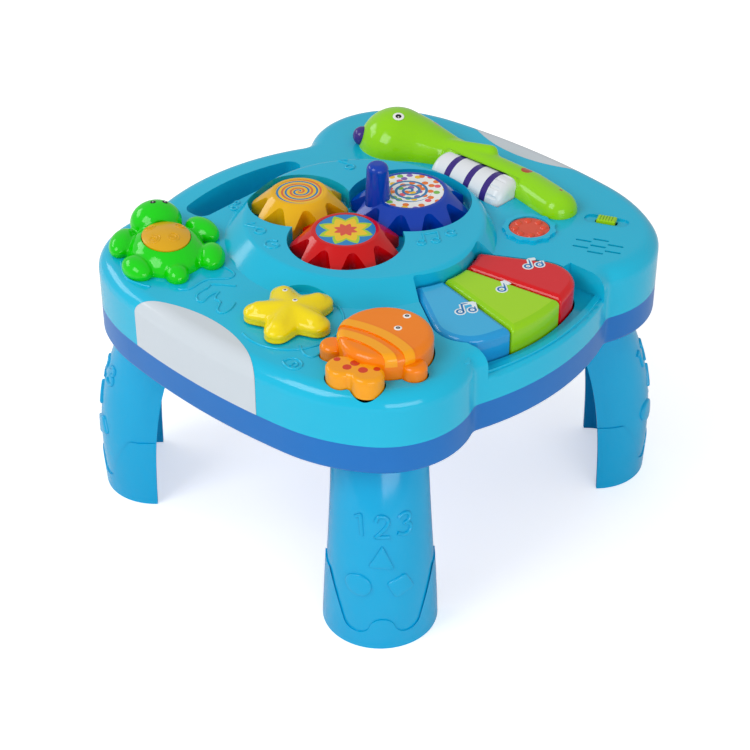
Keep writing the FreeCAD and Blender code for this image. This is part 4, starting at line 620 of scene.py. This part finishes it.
def spotted(spots):
    """Paint that lays round printed spots over the base colour: point, radius and ink of each."""
    def paint(tree, place, coat):
        for point, radius, ink in spots:
            gap = add(tree, "ShaderNodeVectorMath", {0: place, 1: point}, operation="DISTANCE")
            inside = calc(tree, "LESS_THAN", gap.outputs["Value"], radius)
            coat = blended(tree, inside, coat, linear(ink))
        return coat
    return paint


# Starfish
# A puffy lemon-yellow ABS star that spins flat on its pin, stippled all over by the mould's
# blasted steel.
def sphere_chain(start, end, first, last, count, flat=1.0):
    """Row of balls from one point to another, with a radius that changes evenly."""
    balls = []
    for step in range(count):
        t = step / max(count - 1, 1)
        radius = first + (last - first) * t
        balls.append(Matrix.Translation(Vector(start).lerp(Vector(end), t))
                     @ Matrix.Diagonal((radius, radius, radius * flat, 1.0)))
    return balls


def melted(name, balls, voxel, rounds, floor_level):
    """One smooth skin over overlapping balls, cut flat at its underside."""
    ball = bmesh.new()
    bmesh.ops.create_uvsphere(ball, u_segments=32, v_segments=18, radius=1.0)
    ball.verts.index_update()
    knots = [corner.co.copy() for corner in ball.verts]
    sides = [[corner.index for corner in face.verts] for face in ball.faces]
    ball.free()
    points, faces = [], []
    for place in balls:
        faces += [[index + len(points) for index in side] for side in sides]
        points += [place @ knot for knot in knots]
    mesh = bpy.data.meshes.new(name + "_balls")
    mesh.from_pydata(points, [], faces)
    holder = bpy.data.objects.new(name + "_balls", mesh)
    scene.collection.objects.link(holder)
    merge = holder.modifiers.new("merge", "REMESH")
    merge.mode = "VOXEL"
    merge.voxel_size = voxel
    soften = holder.modifiers.new("soften", "SMOOTH")
    soften.factor = 0.5
    soften.iterations = rounds
    bpy.context.view_layer.update()
    graph = bpy.context.evaluated_depsgraph_get()
    made = bpy.data.meshes.new_from_object(holder.evaluated_get(graph))
    bpy.data.objects.remove(holder)
    for corner in made.vertices:
        corner.co.z = max(corner.co.z, floor_level)
    made.name = name
    return made


star_yellow = glossy_abs("lemon_abs", "f8e006", roughness=0.14, shade="f2d800", ripple_mm=2.2, ripple=0.25)
STAR_REACH = 0.0303
STAR_WAIST = 0.0152
STAR_TIP = 0.0086
STAR_FLATNESS = 0.56
STAR_PHASE = 58.0
core = Vector((star_middle.x, star_middle.y, star_low.z + 0.0042))
sink = Vector((0.0, 0.0, -0.004))
star_balls = [Matrix.Translation(core) @ Matrix.Diagonal((0.0185, 0.0185, 0.0078, 1.0))]
for arm in range(5):
    angle = math.radians(STAR_PHASE + 72.0 * arm)
    tip = Vector((math.cos(angle), math.sin(angle), 0.0)) * (STAR_REACH - STAR_TIP)
    star_balls += sphere_chain(core, core + tip, STAR_WAIST, STAR_TIP, 9, STAR_FLATNESS)
    star_balls += sphere_chain(core + sink, core + tip + sink, STAR_WAIST, STAR_TIP, 9, STAR_FLATNESS)
    star_balls += sphere_chain(core + tip * 0.2, core + tip * 0.92, 0.0085, 0.0072, 9)
star_mesh = melted("starfish_skin", star_balls, 0.0008, 14, star_low.z)
star_skin = piece("starfish_skin", star_mesh, star_yellow, "star_spinner")
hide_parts("starfish")
eye("star_eye_left", "starfish_skin", 285, 290, 0.0017, "star_spinner")
eye("star_eye_right", "starfish_skin", 295, 300, 0.0017, "star_spinner")


# Fish
# An orange push button with two raised bands in golden yellow and a spotted tail.
fish_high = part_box("fish_body")[1]
BAND_CENTRE = Vector((-0.171, -0.10044, 0.0))
BAND_RADII = (0.066, 0.054)
BAND_HALF_WIDTH = 0.0035
BAND_DEPTH = 0.0075


def banded(tree, place, coat):
    """Golden ink on the two raised bands of the fish."""
    reach, _ = about(tree, place, BAND_CENTRE)
    for radius in BAND_RADII:
        band = calc(tree, "COMPARE", reach, radius, BAND_HALF_WIDTH)
        split = add(tree, "ShaderNodeSeparateXYZ", {0: place})
        high = calc(tree, "GREATER_THAN", split.outputs[2], fish_high.z - BAND_DEPTH)
        coat = blended(tree, calc(tree, "MULTIPLY", band, high), coat, linear("fda80c"))
    return coat


dress("fish_body", glossy_abs("orange_abs", "fb8c00", shade="f57e00", paint=banded))
tail_spots = [(seen_at("fish_tail", across, down)[0], radius, "d63a10")
              for across, down, radius in ((337, 359, 0.0022), (355, 363, 0.003), (347, 367, 0.0028),
                                           (363, 370, 0.003), (377, 369, 0.0022))]
dress("fish_tail", glossy_abs("golden_orange_abs", "fba80a", shade="f79f06", paint=spotted(tail_spots)))
eye("fish_eye_far", "fish_body", 407, 316, 0.0026, "fish_button")
eye("fish_eye_near", "fish_body", 398, 328, 0.0026, "fish_button")


# Turtle
# A green ABS shell with four flippers, and in its back a loose amber drum plate with four raised
# spirals.
turtle_green = glossy_abs("grass_green_abs", "14dc06", shade="08d000")
plate_low, plate_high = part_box("turtle_drum_plate")
plate_middle = (plate_low + plate_high) / 2.0
TURTLE_BEARING = math.radians(60.6)
TURTLE_HALF = (0.0300, 0.0262, 0.0182)
PLATE_HALF = (0.0194, 0.0164)
WELL_FLOOR = 0.0105
WELL_HEIGHT = 0.03
ahead = Vector((math.cos(TURTLE_BEARING), math.sin(TURTLE_BEARING), 0.0))
to_left = Vector((-ahead.y, ahead.x, 0.0))
turtle_base = Vector((plate_middle.x, plate_middle.y, DECK_TOP))


def turtle_ball(forward, aside, rise, half, turn):
    """Stretched ball in the turtle's own directions."""
    place = turtle_base + ahead * forward + to_left * aside + Vector((0.0, 0.0, rise))
    spin = Matrix.Rotation(TURTLE_BEARING + math.radians(turn), 4, "Z")
    return Matrix.Translation(place) @ spin @ Matrix.Diagonal((*half, 1.0))


turtle_balls = [turtle_ball(0.0, 0.0, 0.0, TURTLE_HALF, 0.0),
                turtle_ball(0.0325, 0.0, 0.0070, (0.0165, 0.0178, 0.0150), 0.0),
                turtle_ball(-0.0295, 0.0, 0.0020, (0.0095, 0.0080, 0.0070), 0.0)]
flippers = [(0.0180, 0.0258, -28.0, 0.0152), (-0.0160, 0.0235, 20.0, 0.0132),
            (0.0190, -0.0285, 24.0, 0.0152), (-0.0160, -0.0265, -12.0, 0.0135)]
for forward, aside, turn, reach in flippers:
    turtle_balls.append(turtle_ball(forward, aside, 0.0030, (reach, 0.0092, 0.0082), turn))
turtle_mesh = melted("turtle_skin", turtle_balls, 0.0009, 5, DECK_TOP - 0.0002)
turtle_skin = piece("turtle_skin", turtle_mesh, turtle_green, "housing")
well_shape = bmesh.new()
bmesh.ops.create_cone(well_shape, cap_ends=True, segments=96, radius1=1.0, radius2=1.0, depth=WELL_HEIGHT)
well_middle = Vector((0.0, 0.0, WELL_FLOOR + WELL_HEIGHT / 2.0))
well_place = Matrix.Translation(turtle_base + well_middle) @ Matrix.Rotation(TURTLE_BEARING, 4, "Z")
bmesh.ops.transform(well_shape, verts=well_shape.verts,
                    matrix=well_place @ Matrix.Diagonal((*PLATE_HALF, 1.0, 1.0)))
well_mesh = bpy.data.meshes.new("plate_well")
well_shape.to_mesh(well_mesh)
well_shape.free()
cutter = bpy.data.objects.new("plate_well", well_mesh)
scene.collection.objects.link(cutter)
cut = turtle_skin.modifiers.new("well", "BOOLEAN")
cut.object = cutter
cut.solver = "EXACT"
bpy.context.view_layer.update()
graph = bpy.context.evaluated_depsgraph_get()
cut_mesh = bpy.data.meshes.new_from_object(turtle_skin.evaluated_get(graph))
turtle_skin.modifiers.clear()
turtle_skin.data = cut_mesh
bpy.data.objects.remove(cutter)
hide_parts("turtle_body")
amber = glossy_abs("amber_abs", "e6ae0c", roughness=0.24, shade="dea606")
dress("turtle_drum_plate", amber)
COIL_STEPS = 26
COIL_TURN = 0.55
COIL_START = 0.0006
COIL_GROWTH = 0.0042
spirals = []
for across, down in ((149, 228), (180, 226), (154, 239), (173, 237)):
    spot = seen_at("turtle_drum_plate", across, down)[0]
    coil = []
    for step in range(COIL_STEPS):
        angle = step * COIL_TURN
        reach = COIL_START + COIL_GROWTH * step / (COIL_STEPS - 1)
        coil.append((spot.x + reach * math.cos(angle), spot.y + reach * math.sin(angle)))
    spirals.append((settled("turtle_drum_plate", coil), False))
raised_lines("drum_plate_spirals", spirals, 0.0004, amber, "drum_button")
eye("turtle_eye_left", "turtle_skin", 153, 202, 0.0020, "housing", white=False)
eye("turtle_eye_right", "turtle_skin", 165, 202, 0.0020, "housing", white=False)


# Dinosaur
# A lime ABS body along the right side, fixed to the deck, with rust-red printed spots. The
# purple snout is a separate bud.
roller_low, roller_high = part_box("belly_roller")
roller_middle = (roller_low + roller_high) / 2.0
dino_balls = []
dino_rows = [((0.1040, 0.0810, 0.1955), (0.1090, 0.0670, 0.1965), 0.0285, 0.0235, 8),
             ((0.1090, 0.0670, 0.1965), (0.1135, 0.0400, 0.1985), 0.0235, 0.0150, 8),
             ((0.1135, 0.0400, 0.1985), (0.1140, -0.0360, 0.1985), 0.0150, 0.0138, 14),
             ((0.1140, -0.0360, 0.1985), (0.1100, -0.0540, 0.1985), 0.0138, 0.0140, 7),
             ((0.1100, -0.0540, 0.1985), (0.1072, -0.0660, 0.1985), 0.0140, 0.0138, 6),
             ((0.1110, 0.0360, 0.2085), (0.1205, 0.0060, 0.2110), 0.0056, 0.0054, 14)]
for start, end, first, last, count in dino_rows:
    dino_balls += sphere_chain(start, end, first, last, count)
dino_mesh = melted("dino_skin", dino_balls, 0.0010, 14, DECK_TOP - 0.0002)
ROLLER_CLEARANCE = 0.0009
clear_reach = (roller_high.x - roller_low.x) / 2.0 + ROLLER_CLEARANCE
clear_end = (roller_high.y - roller_low.y) / 2.0 + ROLLER_CLEARANCE
for corner in dino_mesh.vertices:
    across = corner.co.x - roller_middle.x
    up = corner.co.z - roller_middle.z
    along = corner.co.y - roller_middle.y
    gap = math.hypot(across, up)
    if gap < clear_reach and abs(along) < clear_end:
        if clear_end - abs(along) < clear_reach - gap:
            corner.co.y = roller_middle.y + math.copysign(clear_end, along)
        else:
            corner.co.x = roller_middle.x + across / gap * clear_reach
            corner.co.z = max(roller_middle.z + up / gap * clear_reach, DECK_TOP - 0.0002)
dino_skin = piece("dino_skin", dino_mesh, deck_cyan, "housing")
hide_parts("dino_body")
dino_spots = [(seen_at("dino_skin", across, down)[0], radius, ink)
              for across, down, radius, ink in ((443, 119, 0.0046, "c86a2c"),
                                                (527, 170, 0.0042, "b84c20"),
                                                (549, 178, 0.0026, "c84c30"),
                                                (561, 190, 0.0012, "b01c20"))]
dino_lime = glossy_abs("lime_abs", "98e000", shade="8cd800", paint=spotted(dino_spots))
dino_skin.data.materials[0] = dino_lime
eye("dino_eye", "dino_skin", 398.5, 116.5, 0.0042, "housing")
dress("dino_snout", glossy_abs("purple_abs", "46308c", shade="3c2880"))


# Belly roller
# A white ABS barrel with a fluted end that turns on a steel pin. Three purple rings are printed
# round it.
RING_HALF_WIDTH = 0.0026
RING_PIXELS = ((454, 163), (472, 173), (487, 184))
ring_ys = [seen_at("belly_roller", across, down)[0].y for across, down in RING_PIXELS]


def ringed(tree, place, coat):
    """Purple rings round the barrel."""
    along = add(tree, "ShaderNodeSeparateXYZ", {0: place}).outputs[1]
    for y in ring_ys:
        coat = blended(tree, calc(tree, "COMPARE", along, y, RING_HALF_WIDTH), coat, linear("3a2480"))
    return coat


dress("belly_roller", glossy_abs("milk_white_abs", "eceff2", shade="e2e7ec", paint=ringed))


def turned_metal(name, colour, roughness):
    """Bare drawn or plated metal with fine marks left by the tool."""
    material = bpy.data.materials.new(name)
    material.use_nodes = True
    tree = material.node_tree
    tree.nodes.clear()
    place = add(tree, "ShaderNodeTexCoord").outputs["Object"]
    marks = add(tree, "ShaderNodeTexNoise", {"Vector": place, "Scale": 1000.0 / 0.5, "Detail": 3.0})
    gloss = add(tree, "ShaderNodeMapRange", {"Value": marks.outputs["Fac"], "To Min": roughness - 0.08,
                                             "To Max": roughness + 0.08})
    dents = add(tree, "ShaderNodeBump", {"Strength": 0.1, "Distance": 0.0001, "Height": marks.outputs["Fac"]})
    body = add(tree, "ShaderNodeBsdfPrincipled", {"Base Color": linear(colour), "Metallic": 1.0,
                                                  "Roughness": gloss.outputs[0], "Normal": dents.outputs[0]})
    add(tree, "ShaderNodeOutputMaterial", {"Surface": body.outputs[0]})
    return material


drawn_steel = turned_metal("drawn_steel", "c3c6c9", 0.28)
zinc_plate = turned_metal("zinc_plate", "cfd2d4", 0.34)
dress("roller_axle", drawn_steel)
dress("key_hinge_pin", drawn_steel)


# Piano keys
# Three ABS keys in light blue, lime and red on one pin. Their flat tops get a painted highlight,
# a paler tone than the rounded flanks, and each carries a printed music note, blue in a white outline.
def painted_lit_top(colour):
    """Painted highlight: a paler tone on the upward-facing flat top of a key."""
    def paint(tree, place, coat):
        facing = add(tree, "ShaderNodeNewGeometry").outputs["Normal"]
        upward = add(tree, "ShaderNodeSeparateXYZ", {0: facing}).outputs[2]
        # painted highlight: faces that point up take the paler top colour
        share = calc(tree, "GREATER_THAN", upward, 0.985)
        return blended(tree, share, coat, linear(colour))
    return paint


white_print = glossy_abs("white_print", "e8f2f6", roughness=0.25, ripple=0.0)
blue_print = glossy_abs("blue_print", "1c78b8", roughness=0.25, ripple=0.0)
KEY_NOTE_SIZE = 0.008
KEY_NOTE_TURN = -40
# Each key: finish name, flank colour, painted highlight colour of the flat top, and the note's place.
key_finishes = {"do": ("light_blue_abs", "1e9ad8", "3cb2e2", (-0.0350, -0.1050)),
                "re": ("spring_green_abs", "94d400", "a4dc10", (0.0005, -0.1050)),
                "mi": ("signal_red_abs", "dc000c", "dc1c26", (0.0365, -0.1020))}
for name, (label, colour, top, spot) in key_finishes.items():
    dress("key_" + name, glossy_abs(label, colour, paint=painted_lit_top(top)))
    strokes = []
    for line, closed in (NOTE if name == "re" else PAIRED_NOTE):
        strokes.append((settled("key_" + name, placed(line, spot, KEY_NOTE_SIZE, KEY_NOTE_TURN)), closed))
    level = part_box("key_" + name)[1].z
    raised_lines("key_%s_outline" % name, strokes, 0.0017, white_print, name + "_key",
                 flatten=(level, 0.06))
    raised_lines("key_%s_note" % name, strokes, 0.0009, blue_print, name + "_key",
                 flatten=(level, 0.16))


# Crab lamp
# A coral lens with a ring of dimples and a lobed rim, over a small lamp.
dress("crab_lens", glossy_abs("coral_translucent_abs", "e8553a", shade="e04a30"))
dress("crab_lamp", panel_white)


# Slide switch
# A lime slider in a shallow curved recess, working a black switch under the deck.
dress("power_switch_slider", glossy_abs("lime_slider_abs", "a4d80e", shade="9cd008"))


# Rubber domes and circuit boards
# Grey silicone domes return the buttons. The boards are green glass-epoxy laminate.
def soft_rubber(name, colour):
    """Moulded silicone: matt, with a fine dusty bloom."""
    material = bpy.data.materials.new(name)
    material.use_nodes = True
    tree = material.node_tree
    tree.nodes.clear()
    place = add(tree, "ShaderNodeTexCoord").outputs["Object"]
    bloom = add(tree, "ShaderNodeTexNoise", {"Vector": place, "Scale": 1000.0 / 1.5, "Detail": 3.0})
    tone = blended(tree, bloom.outputs["Fac"], linear(colour), [c * 1.15 for c in linear(colour)[:3]] + [1.0])
    dust = add(tree, "ShaderNodeBump", {"Strength": 0.15, "Distance": 0.0001, "Height": bloom.outputs["Fac"]})
    body = add(tree, "ShaderNodeBsdfPrincipled", {"Base Color": tone, "Roughness": 0.7, "IOR": 1.41,
                                                  "Normal": dust.outputs[0]})
    add(tree, "ShaderNodeOutputMaterial", {"Surface": body.outputs[0]})
    return material


silicone = soft_rubber("grey_silicone", "7a7a7a")
for name in ("do", "re", "mi", "fish", "drum"):
    dress("dome_" + name, silicone)
laminate = glossy_abs("green_laminate", "1d5a34", roughness=0.4, shade="17502c")
dress("circuit_board", laminate)
dress("drum_board", laminate)


# Screws, contacts and cells
# Zinc-plated screws hold the shells and boards. Three cells lie between sprung contacts.
for name in ("housing_screws", "board_screws", "battery_door_screw", "battery_contacts"):
    dress(name, zinc_plate)
dress("batteries", glossy_abs("cell_sleeve", "34373b", roughness=0.3, shade="2c2f33"))


# Size
# The box round the dressed table, without the floor.
low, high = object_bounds()
